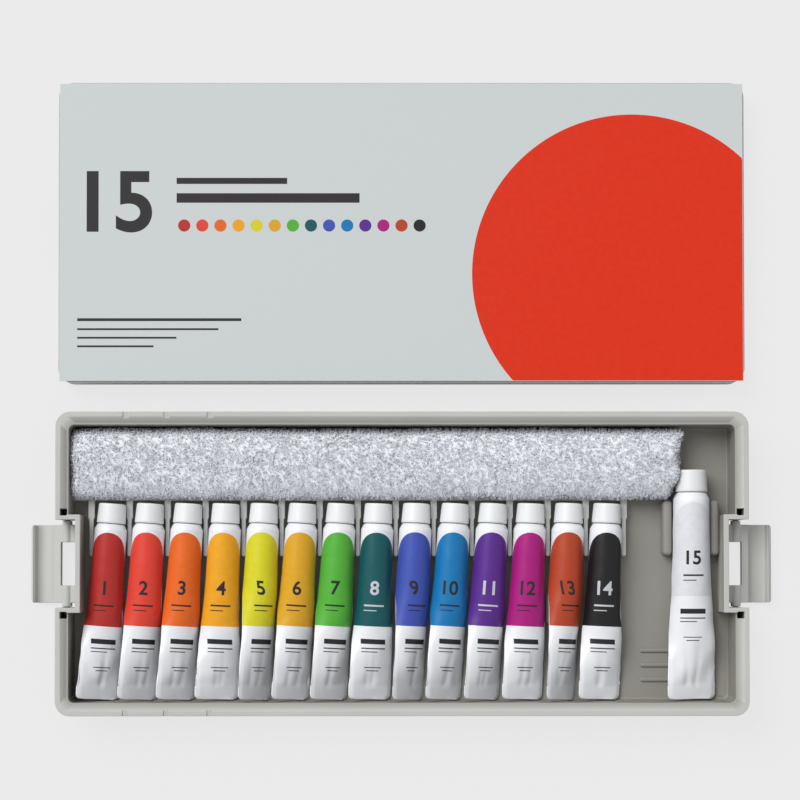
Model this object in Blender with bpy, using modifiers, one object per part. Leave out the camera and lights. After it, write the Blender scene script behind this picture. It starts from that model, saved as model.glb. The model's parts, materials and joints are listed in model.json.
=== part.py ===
"""A gouache paint set box: a shallow plastic tray with two end latches, a comb-shaped rack, fourteen small
paint tubes and one large one with their screw caps, a rolled towel, and the lift-off lid with its cover card.

The box stands open on a table. The origin is the centre of the tray's underside, +X to the right, +Y to the
back, where the lid lies, and +Z up. Lengths are in metres. The tray's length and width follow from what it holds.
"""

import math

import bmesh
import bpy
from mathutils import Matrix, Vector

# Fits and cuts
GAP = 0.0003
CUT_OVERRUN = 0.002
WELD_DISTANCE = 0.000002

# Rim and walls of the tray, from the outside in
LIP_WIDTH = 0.0026
STEP_RUN = 0.0031
STEP_DROP = 0.0022
LEDGE_WIDTH = 0.0009
RIM_FLANGE_DEPTH = 0.0040
WALL_THICKNESS = 0.0020
WALL_DRAFT = 0.0007
FLOOR_THICKNESS = 0.0020
TRAY_HEIGHT = 0.0240
CORNER_RADIUS = 0.0075
INNER_CORNER_RADIUS = 0.0030

# Small tubes and their caps
BODY_RADIUS = 0.0085
SHOULDER_RADIUS = 0.0068
SHOULDER_HEIGHT = 0.0032
NECK_RADIUS = 0.0040
NECK_LENGTH = 0.0078
CRIMP_THICKNESS = 0.0012
CRIMP_BAND = 0.0070
CRIMP_FOLD_SHARE = 0.3
CAP_LENGTH = 0.0103
CAP_BASE_RADIUS = 0.0076
CAP_TOP_RADIUS = 0.0071
CAP_EDGE_RADIUS = 0.0007
THREAD_CLEARANCE = 0.0003
TUBE_LENGTH = 0.1023

# Large tube and its cap
LARGE_BODY_RADIUS = 0.0095
LARGE_SHOULDER_RADIUS = 0.0076
LARGE_SHOULDER_HEIGHT = 0.0036
LARGE_CAP_LENGTH = 0.0115
LARGE_CAP_BASE_RADIUS = 0.0084
LARGE_CAP_TOP_RADIUS = 0.0079
LARGE_TUBE_LENGTH = 0.1199
LARGE_CRIMP_TILT = math.radians(26)

# Rack: a rail with a finger on each side of every small tube
BAY_PITCH = 0.0200
FINGER_WIDTH = 0.0022
FINGER_ROOT_WIDTH = 0.0034
FINGER_ROOT_LENGTH = 0.0090
FINGER_LENGTH = 0.0295
RACK_HEIGHT = 0.0057
RAIL_THICKNESS = 0.0021

# Lean of the small tubes, as shares of the bay pitch by which their crimps lie left of the bays' edges
LEAN_SHARE = 0.27
POST_LEAN_SHARE = 0.13
FIRST_LEAN_SHARE = 0.36
LAST_LEAN_SHARE = 0.10
BAYS_PER_POST = 4
CRIMP_SPACING = 0.0006

# Fittings moulded on the tray's floor
POST_THICKNESS = 0.0021
POST_LENGTH = 0.0158
POST_HEIGHT = 0.0038
POST_TO_FINGERS = 0.0195
HOLDER_THICKNESS = 0.0050
HOLDER_LENGTH = 0.0290
HOLDER_HEIGHT = 0.0095
HOLDER_CLEARANCE = 0.0004
RIB_HEIGHT = 0.0012
RIB_THICKNESS = 0.0026
RIB_SPACING = 0.0077
RIB_TO_WALL = 0.0113
RIB_COUNT = 3
RIB_REACH_SHARE = 0.8
FITTING_ROUND_SHARE = 0.42

# Spaces between the contents and the tray's walls
FIRST_FINGER_SETBACK = 0.0104
FREE_BAY_WIDTH = 0.0200
END_BAY_WIDTH = 0.0066
CRIMP_TO_WALL = 0.0016
CAP_TO_TOWEL = 0.0007
TOWEL_BAY_WIDTH = 0.0370

# Towel
TOWEL_HEIGHT = 0.0190
TOWEL_OVERHANG = 0.0011
TOWEL_END_ROUND = 0.0032
TOWEL_CLEARANCE = 0.0004
TOWEL_END_SLANT_SHARE = 0.16
TOWEL_SQUARENESS = 2.7
TOWEL_END_SHARE = 0.84

# Recess in each end of the tray, with the latch that pivots in it
RECESS_LENGTH = 0.0458
RECESS_DEPTH = 0.0104
RECESS_WALL = 0.0026
CHEEK_SETBACK = 0.0015
PIVOT_INSET = 0.0045
PIVOT_HEIGHT = 0.0090
TRUNNION_RADIUS = 0.0014
TRUNNION_CLEARANCE = 0.0003
TRUNNION_END = 0.0010
PIN_SLOT_LENGTH = 0.0030
PIN_SLOT_MARGIN = 0.0006
PIN_HOUSING_WALL = 0.0012
LATCH_WIDTH = 0.0410
LATCH_THICKNESS = 0.0024
LATCH_FACE = 0.0012
LATCH_PLATE_LENGTH = 0.0070
LATCH_GROOVE = 0.0018
LATCH_CORNER = 0.0022
ARM_CLEARANCE = 0.0009
GRIP_DEPTH = 0.0016
BARREL_RADIUS = 0.0026
BARREL_CLEARANCE = 0.0004
WINDOW_LENGTH = 0.0227
WINDOW_EDGE = 0.0032
HOOK_THICKNESS = 0.0022
HOOK_REACH = 0.0034
GRIP_FLARE = 0.0032
LATCH_DROOP = math.radians(17)
LATCH_CLOSED_TO_OPEN = math.radians(90) + LATCH_DROOP

# Notches in the tray's lip, as shares of its half length
NOTCH_WIDTH = 0.0030
NOTCH_DEPTH = 0.0006
NOTCH_SHARES = (-0.797, -0.679, -0.554)

# Lid and its cover card
LID_HEIGHT = 0.0132
LID_TOP_THICKNESS = 0.0016
LID_WALL = 0.0020
TONGUE_DEPTH = 0.0020
TONGUE_THICKNESS = 0.0018
TONGUE_CHAMFER = 0.0010
BRIM_THICKNESS = 0.0017
BRIM_SETBACK = 0.0060
LID_TO_TRAY = 0.0159
CARD_THICKNESS = 0.0008
CARD_MARGIN = 0.0008

# Facets
ROUND_STEPS = 16
TIP_STEPS = 4
TOWEL_STEPS = 16
CORNER_STEPS = 5
GRIP_STEPS = 8
BODY_SECTION_SHARES = (0.0, 0.2, 0.4, 0.5, 0.6, 0.7, 0.85, 1.0)
FLATTENING = 2.2

PIGMENTS = (
    ("carmine", "#B6332F"),
    ("scarlet", "#E14637"),
    ("orange", "#E66923"),
    ("deep_yellow", "#EBA523"),
    ("lemon_yellow", "#D7D228"),
    ("yellow_ochre", "#DCA528"),
    ("light_green", "#55AF3C"),
    ("viridian", "#14555A"),
    ("ultramarine", "#4155AF"),
    ("sky_blue", "#1978B4"),
    ("violet", "#5A2D8C"),
    ("magenta", "#AA1E7D"),
    ("burnt_sienna", "#B44628"),
    ("jet_black", "#1E1C1E"),
)

# Sizes that follow from the ones above
RIM_WIDTH = LIP_WIDTH + STEP_RUN + LEDGE_WIDTH
RACK_LENGTH = BAY_PITCH * len(PIGMENTS)
HOLDER_SPAN = 2 * (LARGE_BODY_RADIUS + HOLDER_CLEARANCE)
CAP_TO_RAIL = CAP_TO_TOWEL + TOWEL_OVERHANG
INNER_LENGTH = (
    FIRST_FINGER_SETBACK + RACK_LENGTH + FREE_BAY_WIDTH + 2 * HOLDER_THICKNESS + HOLDER_SPAN + END_BAY_WIDTH
)
INNER_WIDTH = CRIMP_TO_WALL + TUBE_LENGTH + CAP_TO_RAIL + RAIL_THICKNESS + TOWEL_BAY_WIDTH
TRAY_LENGTH = INNER_LENGTH + 2 * RIM_WIDTH
TRAY_WIDTH = INNER_WIDTH + 2 * RIM_WIDTH
CAVITY_FLOOR = FLOOR_THICKNESS + GAP

FIRST_FINGER_X = FIRST_FINGER_SETBACK - INNER_LENGTH / 2
CRIMP_Y = CRIMP_TO_WALL - INNER_WIDTH / 2
CAP_TOP_Y = CRIMP_Y + TUBE_LENGTH
SEAT_Y = CAP_TOP_Y - CAP_LENGTH - GAP
RAIL_FRONT_Y = CAP_TOP_Y + CAP_TO_RAIL
RAIL_BACK_Y = RAIL_FRONT_Y + RAIL_THICKNESS
FINGER_END_Y = RAIL_FRONT_Y - FINGER_LENGTH
RACK_TOP = CAVITY_FLOOR + RACK_HEIGHT
LARGE_TUBE_X = INNER_LENGTH / 2 - END_BAY_WIDTH - HOLDER_THICKNESS - HOLDER_SPAN / 2
PIVOT_X = TRAY_LENGTH / 2 - PIVOT_INSET
HOOK_HEIGHT = TRAY_HEIGHT + GAP + BRIM_THICKNESS + GAP - PIVOT_HEIGHT
LATCH_ARM = RECESS_DEPTH - PIVOT_INSET - ARM_CLEARANCE
LID_Y = TRAY_WIDTH + LID_TO_TRAY


def material(name, colour, roughness=0.5, metallic=0.0):
    """A Principled material of one colour, given as an sRGB hex value."""
    made = bpy.data.materials.new(name)
    made.use_nodes = True
    channels = [int(colour[i : i + 2], 16) / 255 for i in (1, 3, 5)]
    linear = [c / 12.92 if c <= 0.04045 else ((c + 0.055) / 1.055) ** 2.4 for c in channels]
    shader = made.node_tree.nodes["Principled BSDF"]
    shader.inputs["Base Color"].default_value = (*linear, 1.0)
    shader.inputs["Roughness"].default_value = roughness
    shader.inputs["Metallic"].default_value = metallic
    made.diffuse_color = (*linear, 1.0)
    return made


def new_collection(name):
    made = bpy.data.collections.new(name)
    bpy.context.scene.collection.children.link(made)
    return made


def mesh_object(name, bm, collection, finish=None):
    """An object made from a bmesh, with its faces pointing outwards."""
    bmesh.ops.recalc_face_normals(bm, faces=bm.faces)
    mesh = bpy.data.meshes.new(name)
    bm.to_mesh(mesh)
    bm.free()
    made = bpy.data.objects.new(name, mesh)
    collection.objects.link(made)
    if finish:
        mesh.materials.append(finish)
        mesh.shade_smooth()
        mesh.set_sharp_from_angle(angle=math.radians(35))
    return made


def helper(made):
    """Marks an object as a cutter or as a shape that is joined to another one."""
    made.hide_render = True
    made.display_type = "WIRE"
    return made


def combine(target, other, operation):
    modifier = target.modifiers.new(other.name, "BOOLEAN")
    modifier.operation = operation
    modifier.object = helper(other)


def box_bmesh(low, high, corner_radius=0.0, round_top=False):
    """A box between two corners, with its upright edges rounded, and the ones round its top too if asked."""
    size = Vector(high) - Vector(low)
    centre = (Vector(high) + Vector(low)) / 2
    bm = bmesh.new()
    bmesh.ops.create_cube(bm, size=1, matrix=Matrix.Translation(centre) @ Matrix.Diagonal((*size, 1)))
    if corner_radius:
        tops = [min(v.co.z for v in e.verts) > centre.z for e in bm.edges]
        upright = [abs(e.verts[0].co.z - e.verts[1].co.z) > size.z / 2 for e in bm.edges]
        bmesh.ops.bevel(
            bm,
            geom=[e for e, stands, top in zip(bm.edges, upright, tops) if stands or (round_top and top)],
            offset=corner_radius,
            segments=CORNER_STEPS,
            profile=0.5,
            affect="EDGES",
        )
    return bm


def block(name, low, high, collection, corner_radius=0.0, round_top=False, finish=None):
    return mesh_object(name, box_bmesh(low, high, corner_radius, round_top), collection, finish)


def shell_block(name, inset, bottom, top, radius, collection, low_inset=0.0, centre_y=0.0, finish=None):
    """A block with the tray's outline set in from its edge, and set in more at the bottom."""
    half_length = TRAY_LENGTH / 2 - inset
    half_width = TRAY_WIDTH / 2 - inset
    bm = box_bmesh((-half_length, -half_width, bottom), (half_length, half_width, top), radius)
    for vertex in bm.verts:
        if vertex.co.z < (bottom + top) / 2:
            vertex.co.x *= 1 - low_inset / half_length
            vertex.co.y *= 1 - low_inset / half_width
        vertex.co.y += centre_y
    return mesh_object(name, bm, collection, finish)


def cross_rod(name, radius, centre, half_length, collection):
    """A cylinder along Y."""
    bm = bmesh.new()
    turn = Matrix.Translation(centre) @ Matrix.Rotation(math.radians(90), 4, "X")
    bmesh.ops.create_cone(
        bm,
        cap_ends=True,
        segments=ROUND_STEPS,
        radius1=radius,
        radius2=radius,
        depth=2 * half_length,
        matrix=turn,
    )
    return mesh_object(name, bm, collection)


def outline_bmesh(points, low, high):
    """A flat outline in XY, filled and raised from one height to another."""
    curve = bpy.data.curves.new("outline", "CURVE")
    curve.dimensions = "2D"
    curve.fill_mode = "BOTH"
    curve.extrude = (high - low) / 2
    spline = curve.splines.new("POLY")
    spline.points.add(len(points) - 1)
    for place, (x, y) in zip(spline.points, points):
        place.co = (x, y, 0, 1)
    spline.use_cyclic_u = True
    guide = bpy.data.objects.new("outline", curve)
    bpy.context.scene.collection.objects.link(guide)
    graph = bpy.context.evaluated_depsgraph_get()
    mesh = bpy.data.meshes.new_from_object(guide.evaluated_get(graph))
    bm = bmesh.new()
    bm.from_mesh(mesh)
    bmesh.ops.remove_doubles(bm, verts=bm.verts, dist=WELD_DISTANCE)
    bmesh.ops.translate(bm, verts=bm.verts, vec=(0, 0, (high + low) / 2))
    bpy.data.objects.remove(guide)
    bpy.data.curves.remove(curve)
    bpy.data.meshes.remove(mesh)
    return bm


def arc(centre, radius, start, end, steps):
    """Points on a circle between two angles in degrees, both ends included."""
    angles = [math.radians(start + (end - start) * i / steps) for i in range(steps + 1)]
    return [(centre[0] + radius * math.cos(a), centre[1] + radius * math.sin(a)) for a in angles]


def loft_bmesh(rings):
    """A closed body through rings with the same number of points, with a flat end at each side."""
    bm = bmesh.new()
    placed = [[bm.verts.new(point) for point in ring] for ring in rings]
    count = len(rings[0])
    for first, second in zip(placed, placed[1:]):
        for i in range(count):
            j = (i + 1) % count
            bm.faces.new((first[i], first[j], second[j], second[i]))
    bm.faces.new(placed[0])
    bm.faces.new(placed[-1])
    return bm


def add_tray(parts, cutters, plastic):
    """The tray: flanged walls with a stepped rim, an end recess for each latch, and the fittings on its floor."""
    wall_inset = RIM_WIDTH - WALL_THICKNESS
    tray = shell_block(
        "tray",
        wall_inset,
        0,
        TRAY_HEIGHT - RIM_FLANGE_DEPTH / 2,
        INNER_CORNER_RADIUS + WALL_THICKNESS,
        parts,
        WALL_DRAFT,
        finish=plastic,
    )
    flange_bottom = TRAY_HEIGHT - RIM_FLANGE_DEPTH
    flange = shell_block("rim_flange", 0, flange_bottom, TRAY_HEIGHT, CORNER_RADIUS, cutters)
    combine(tray, flange, "UNION")
    cavity = shell_block(
        "cavity",
        RIM_WIDTH,
        FLOOR_THICKNESS,
        TRAY_HEIGHT + CUT_OVERRUN,
        INNER_CORNER_RADIUS,
        cutters,
        WALL_DRAFT,
    )
    combine(tray, cavity, "DIFFERENCE")
    step = shell_block(
        "rim_step",
        LIP_WIDTH,
        TRAY_HEIGHT - STEP_DROP,
        TRAY_HEIGHT,
        CORNER_RADIUS - LIP_WIDTH,
        cutters,
        STEP_RUN,
    )
    combine(tray, step, "DIFFERENCE")
    for side, name in ((-1, "left"), (1, "right")):
        add_recess(tray, side, name, cutters)
    for i, share in enumerate(NOTCH_SHARES):
        x = share * TRAY_LENGTH / 2
        y = TRAY_WIDTH / 2 + CUT_OVERRUN
        notch = block(
            f"lip_notches_{i + 1}",
            (x - NOTCH_WIDTH / 2, -y, TRAY_HEIGHT - NOTCH_DEPTH),
            (x + NOTCH_WIDTH / 2, y, TRAY_HEIGHT + CUT_OVERRUN),
            cutters,
        )
        combine(tray, notch, "DIFFERENCE")
    for fitting in floor_fittings(cutters):
        combine(tray, fitting, "UNION")


def add_recess(tray, side, name, cutters):
    """A bay in the tray's end, its cheeks with the holes for the latch's trunnions, and a housed slot behind each."""

    def span(near, far):
        return sorted((side * near, side * far))

    end = TRAY_LENGTH / 2
    cheek_y = RECESS_LENGTH / 2 + RECESS_WALL
    low_x, high_x = span(end - RECESS_DEPTH - RECESS_WALL, end - CHEEK_SETBACK)
    cheeks = block(f"cheeks_{name}", (low_x, -cheek_y, 0), (high_x, cheek_y, TRAY_HEIGHT), cutters)
    combine(tray, cheeks, "UNION")
    low_x, high_x = span(end - RIM_WIDTH + WALL_THICKNESS / 2, end - CHEEK_SETBACK)
    housing_y = cheek_y + PIN_SLOT_LENGTH + PIN_HOUSING_WALL
    housing_top = TRAY_HEIGHT - (RIM_FLANGE_DEPTH + STEP_DROP) / 2
    housings = block(
        f"pin_housings_{name}", (low_x, -housing_y, 0), (high_x, housing_y, housing_top), cutters
    )
    combine(tray, housings, "UNION")
    low_x, high_x = span(end - RECESS_DEPTH, end + CUT_OVERRUN)
    recess = block(
        f"recess_{name}",
        (low_x, -RECESS_LENGTH / 2, -CUT_OVERRUN),
        (high_x, RECESS_LENGTH / 2, TRAY_HEIGHT + CUT_OVERRUN),
        cutters,
    )
    combine(tray, recess, "DIFFERENCE")
    hole = cross_rod(
        f"pivot_holes_{name}",
        TRUNNION_RADIUS + TRUNNION_CLEARANCE,
        (side * PIVOT_X, 0, PIVOT_HEIGHT),
        cheek_y + PIN_SLOT_LENGTH / 2,
        cutters,
    )
    combine(tray, hole, "DIFFERENCE")
    slot_reach = TRUNNION_RADIUS + PIN_SLOT_MARGIN
    low_x, high_x = span(PIVOT_X - TRUNNION_RADIUS, PIVOT_X + slot_reach)
    for facing, where in ((-1, "front"), (1, "back")):
        low_y, high_y = sorted((facing * (cheek_y - TRUNNION_END / 2), facing * (cheek_y + PIN_SLOT_LENGTH)))
        slot = block(
            f"pin_slot_{name}_{where}",
            (low_x, low_y, PIVOT_HEIGHT - slot_reach),
            (high_x, high_y, TRAY_HEIGHT + CUT_OVERRUN),
            cutters,
        )
        combine(tray, slot, "DIFFERENCE")


def floor_fittings(cutters):
    """The posts between the small tubes, the two holders of the large tube, and the ribs under it."""
    sunk = FLOOR_THICKNESS / 2
    post_back = FINGER_END_Y - POST_TO_FINGERS
    for i in range(BAYS_PER_POST, len(PIGMENTS), BAYS_PER_POST):
        x = FIRST_FINGER_X + i * BAY_PITCH
        yield block(
            f"post_{i // BAYS_PER_POST}",
            (x - POST_THICKNESS / 2, post_back - POST_LENGTH, sunk),
            (x + POST_THICKNESS / 2, post_back, FLOOR_THICKNESS + POST_HEIGHT),
            cutters,
            POST_THICKNESS * FITTING_ROUND_SHARE,
            round_top=True,
        )
    for side, name in ((-1, "left"), (1, "right")):
        x = LARGE_TUBE_X + side * (HOLDER_SPAN + HOLDER_THICKNESS) / 2
        yield block(
            f"holder_{name}",
            (x - HOLDER_THICKNESS / 2, RAIL_FRONT_Y - HOLDER_LENGTH, sunk),
            (x + HOLDER_THICKNESS / 2, RAIL_FRONT_Y, FLOOR_THICKNESS + HOLDER_HEIGHT),
            cutters,
            HOLDER_THICKNESS * FITTING_ROUND_SHARE,
            round_top=True,
        )
    for i in range(RIB_COUNT):
        y = RIB_TO_WALL + i * RIB_SPACING - INNER_WIDTH / 2
        yield block(
            f"floor_rib_{i + 1}",
            (LARGE_TUBE_X - HOLDER_SPAN / 2 - FREE_BAY_WIDTH * RIB_REACH_SHARE, y - RIB_THICKNESS / 2, sunk),
            (LARGE_TUBE_X + HOLDER_SPAN / 2, y + RIB_THICKNESS / 2, FLOOR_THICKNESS + RIB_HEIGHT),
            cutters,
            RIB_THICKNESS * FITTING_ROUND_SHARE,
            round_top=True,
        )


def add_rack(parts, plastic):
    """The comb that parts the small tubes: a rail across their caps with a finger between each two."""
    left = GAP - INNER_LENGTH / 2 + WALL_DRAFT
    right = FIRST_FINGER_X + RACK_LENGTH + FINGER_ROOT_WIDTH / 2
    points = [(right, RAIL_BACK_Y), (left, RAIL_BACK_Y), (left, RAIL_FRONT_Y)]
    root_end = RAIL_FRONT_Y - FINGER_ROOT_LENGTH
    for i in range(len(PIGMENTS) + 1):
        x = FIRST_FINGER_X + i * BAY_PITCH
        tip = arc((x, FINGER_END_Y + FINGER_WIDTH / 2), FINGER_WIDTH / 2, 180, 360, TIP_STEPS)
        points += [(x - FINGER_ROOT_WIDTH / 2, RAIL_FRONT_Y), (x - FINGER_ROOT_WIDTH / 2, root_end)]
        points += [(x - FINGER_WIDTH / 2, root_end - FINGER_WIDTH / 2), *tip]
        points += [(x + FINGER_WIDTH / 2, root_end - FINGER_WIDTH / 2), (x + FINGER_ROOT_WIDTH / 2, root_end)]
        if i < len(PIGMENTS):
            points.append((x + FINGER_ROOT_WIDTH / 2, RAIL_FRONT_Y))
    mesh_object("tube_rack", outline_bmesh(points, CAVITY_FLOOR, RACK_TOP), parts, plastic)


def latch_profile():
    """The closed latch from its side: how far each point lies inwards of the pivot, and how high above it."""
    outer_face = LATCH_FACE - LATCH_THICKNESS
    groove = LATCH_FACE - LATCH_GROOVE
    hook_top = HOOK_HEIGHT + HOOK_THICKNESS
    low, high = LATCH_PLATE_LENGTH + LATCH_GROOVE / 4, HOOK_HEIGHT - HOOK_THICKNESS / 4
    half = (high - low) / 2
    radius = (half**2 + GRIP_DEPTH**2) / (2 * GRIP_DEPTH)
    spread = math.degrees(math.asin(half / radius))
    centre = (groove - GRIP_DEPTH + radius, (low + high) / 2)
    inner = [
        (LATCH_FACE, -LATCH_ARM),
        (LATCH_FACE, LATCH_PLATE_LENGTH),
        *arc(centre, radius, 180 + spread, 180 - spread, GRIP_STEPS),
        (groove + HOOK_THICKNESS / 4, HOOK_HEIGHT),
        (HOOK_REACH - HOOK_THICKNESS / 3, HOOK_HEIGHT),
        (HOOK_REACH, HOOK_HEIGHT + HOOK_THICKNESS / 3),
        (HOOK_REACH - HOOK_THICKNESS / 6, hook_top - HOOK_THICKNESS / 5),
        (HOOK_REACH - HOOK_THICKNESS / 2, hook_top),
    ]
    outer = [
        (-GRIP_FLARE + HOOK_THICKNESS / 3, hook_top),
        (-GRIP_FLARE, hook_top - HOOK_THICKNESS / 3),
        (-GRIP_FLARE + HOOK_THICKNESS / 6, HOOK_HEIGHT - HOOK_THICKNESS / 3),
        *arc(centre, radius + LATCH_THICKNESS * 0.8, 180 - spread * 0.6, 180 + spread * 0.6, GRIP_STEPS),
        (outer_face, LATCH_PLATE_LENGTH - LATCH_THICKNESS / 2),
        (outer_face, -LATCH_ARM),
    ]
    return inner + outer


def add_latch(side, name, parts, cutters, plastic):
    """A latch that hangs open over the table: a plate on two trunnions, with a hook for the lid's brim."""
    points = [(-side * inwards, up) for inwards, up in latch_profile()]
    bm = outline_bmesh(points, -LATCH_WIDTH / 2, LATCH_WIDTH / 2)
    bmesh.ops.rotate(bm, verts=bm.verts, matrix=Matrix.Rotation(math.radians(90), 3, "X"))
    latch = mesh_object(f"latch_{name}", bm, parts, plastic)
    bm = box_bmesh(
        (-HOOK_HEIGHT - HOOK_THICKNESS, -LATCH_WIDTH / 2, -HOOK_HEIGHT),
        (LATCH_ARM + LATCH_CORNER + CUT_OVERRUN, LATCH_WIDTH / 2, HOOK_HEIGHT),
        LATCH_CORNER,
    )
    bmesh.ops.rotate(bm, verts=bm.verts, matrix=Matrix.Rotation(math.radians(90), 3, "Y"))
    plan = mesh_object(f"plan_{name}", bm, cutters)
    barrel = cross_rod(
        f"barrel_{name}", BARREL_RADIUS, (0, 0, 0), RECESS_LENGTH / 2 - BARREL_CLEARANCE, cutters
    )
    trunnion_reach = RECESS_LENGTH / 2 + RECESS_WALL + TRUNNION_END
    trunnions = cross_rod(f"trunnions_{name}", TRUNNION_RADIUS, (0, 0, 0), trunnion_reach, cutters)
    wide = BARREL_RADIUS + CUT_OVERRUN
    window = block(
        f"window_{name}",
        (-wide, -WINDOW_LENGTH / 2, -LATCH_ARM - CUT_OVERRUN),
        (wide, WINDOW_LENGTH / 2, WINDOW_EDGE),
        cutters,
    )
    combine(latch, plan, "INTERSECT")
    combine(latch, barrel, "UNION")
    combine(latch, trunnions, "UNION")
    combine(latch, window, "DIFFERENCE")
    latch.location = (side * PIVOT_X, 0, PIVOT_HEIGHT)
    latch.rotation_euler.y = side * LATCH_CLOSED_TO_OPEN
    for shape in (plan, barrel, trunnions, window):
        shape.parent = latch


def lid_pocket(side, name, lid, cutters):
    """The pocket in the lid's end that takes the latch, and the brim that its hook goes over."""

    def span(near, far):
        return sorted((side * near, side * far))

    end = TRAY_LENGTH / 2
    half = RECESS_LENGTH / 2
    ceiling = LID_HEIGHT - LID_TOP_THICKNESS
    wall_x = end - RECESS_DEPTH
    low_x, high_x = span(wall_x, end + CUT_OVERRUN)
    cut = block(
        f"lid_pocket_{name}",
        (low_x, LID_Y - half, -CUT_OVERRUN),
        (high_x, LID_Y + half, ceiling),
        cutters,
    )
    combine(lid, cut, "DIFFERENCE")
    low_x, high_x = span(wall_x - LID_WALL, end - LID_WALL / 2)
    cheek = half + LID_WALL
    middle = ceiling + LID_TOP_THICKNESS / 2
    for facing, where in ((-1, "front"), (1, "back")):
        low_y, high_y = sorted((LID_Y + facing * half, LID_Y + facing * cheek))
        return_wall = block(
            f"lid_cheek_{name}_{where}", (low_x, low_y, TONGUE_DEPTH), (high_x, high_y, middle), cutters
        )
        combine(lid, return_wall, "UNION")
    low_x, high_x = span(wall_x - LID_WALL, wall_x)
    wall = block(
        f"lid_pocket_wall_{name}",
        (low_x, LID_Y - half - LID_WALL / 2, TONGUE_DEPTH),
        (high_x, LID_Y + half + LID_WALL / 2, middle),
        cutters,
    )
    combine(lid, wall, "UNION")
    low_x, high_x = span(wall_x - LID_WALL / 2, end - BRIM_SETBACK)
    brim = block(
        f"lid_brim_{name}",
        (low_x, LID_Y - half - LID_WALL / 2, TONGUE_DEPTH),
        (high_x, LID_Y + half + LID_WALL / 2, TONGUE_DEPTH + BRIM_THICKNESS),
        cutters,
    )
    combine(lid, brim, "UNION")


def add_lid(parts, cutters, plastic, board):
    """The lid, lying face up behind the tray on its tongue, and the printed card on top of it."""
    lid = shell_block(
        "lid_shell", 0, TONGUE_DEPTH, LID_HEIGHT, CORNER_RADIUS, parts, centre_y=LID_Y, finish=plastic
    )
    ceiling = LID_HEIGHT - LID_TOP_THICKNESS
    inner_radius = CORNER_RADIUS - LID_WALL
    hollow = shell_block("lid_hollow", LID_WALL, -CUT_OVERRUN, ceiling, inner_radius, cutters, centre_y=LID_Y)
    combine(lid, hollow, "DIFFERENCE")
    tongue_inset = RIM_WIDTH - TONGUE_THICKNESS
    tongue_radius = INNER_CORNER_RADIUS + TONGUE_THICKNESS
    middle = ceiling + LID_TOP_THICKNESS / 2
    tongue = shell_block(
        "lid_tongue", tongue_inset, 0, middle, tongue_radius, cutters, TONGUE_CHAMFER, centre_y=LID_Y
    )
    tongue_hollow = shell_block(
        "lid_tongue_hollow",
        RIM_WIDTH,
        -CUT_OVERRUN,
        middle + CUT_OVERRUN,
        INNER_CORNER_RADIUS,
        cutters,
        centre_y=LID_Y,
    )
    combine(tongue, tongue_hollow, "DIFFERENCE")
    combine(lid, tongue, "UNION")
    lid_pocket(-1, "left", lid, cutters)
    lid_pocket(1, "right", lid, cutters)
    card_bottom = LID_HEIGHT + GAP
    half_length = TRAY_LENGTH / 2 - CARD_MARGIN
    half_width = TRAY_WIDTH / 2 - CARD_MARGIN
    block(
        "lid_cover_card",
        (-half_length, LID_Y - half_width, card_bottom),
        (half_length, LID_Y + half_width, card_bottom + CARD_THICKNESS),
        parts,
        finish=board,
    )


def towel_section():
    """The rolled towel's outline across its length, as places in Y and Z, from the rail round to the rail."""
    front = RAIL_FRONT_Y - TOWEL_OVERHANG
    back = INNER_WIDTH / 2 - WALL_DRAFT - TOWEL_CLEARANCE
    top = CAVITY_FLOOR + TOWEL_HEIGHT
    middle_y = (front + back) / 2
    middle_z = (CAVITY_FLOOR + top) / 2
    power = 2 / TOWEL_SQUARENESS

    def point(degrees):
        c, s = math.cos(math.radians(degrees)), math.sin(math.radians(degrees))
        y = middle_y + (back - front) / 2 * math.copysign(abs(c) ** power, c)
        z = middle_z + TOWEL_HEIGHT / 2 * math.copysign(abs(s) ** power, s)
        return y, z

    behind_rail = RAIL_BACK_Y + TOWEL_CLEARANCE
    over_rail = RACK_TOP + TOWEL_CLEARANCE
    corner_round = (middle_z - over_rail) / 2
    rail_side = [(behind_rail + corner_round, CAVITY_FLOOR), (behind_rail, CAVITY_FLOOR + corner_round)]
    rail_side += [(behind_rail, over_rail), (front + corner_round, over_rail)]
    rest = [point(180 - 270 * step / TOWEL_STEPS) for step in range(1, TOWEL_STEPS + 1)]
    return rail_side + [(front, middle_z)] + rest


def add_towel(parts, cloth):
    """The towel, rolled up and lying behind the rail, with its right end on a slant."""
    section = towel_section()
    middle_y = sum(y for y, z in section) / len(section)
    middle_z = sum(z for y, z in section) / len(section)
    left = TOWEL_CLEARANCE + WALL_DRAFT - INNER_LENGTH / 2
    cap_left = LARGE_TUBE_X - LARGE_CAP_BASE_RADIUS - TOWEL_CLEARANCE
    cap_back = CRIMP_Y + LARGE_TUBE_LENGTH
    rings = []
    for share, inwards in ((TOWEL_END_SHARE, 0.0), (1.0, TOWEL_END_ROUND)):
        rings.append([(left + inwards, y, z, share) for y, z in section])
    for share, inwards in ((1.0, TOWEL_END_ROUND), (TOWEL_END_SHARE, 0.0)):
        rings.append(
            [(cap_left + TOWEL_END_SLANT_SHARE * (y - cap_back) - inwards, y, z, share) for y, z in section]
        )
    shrunk = [
        [(x, middle_y + share * (y - middle_y), middle_z + share * (z - middle_z)) for x, y, z, share in ring]
        for ring in rings
    ]
    mesh_object("towel", loft_bmesh(shrunk), parts, cloth)


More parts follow.
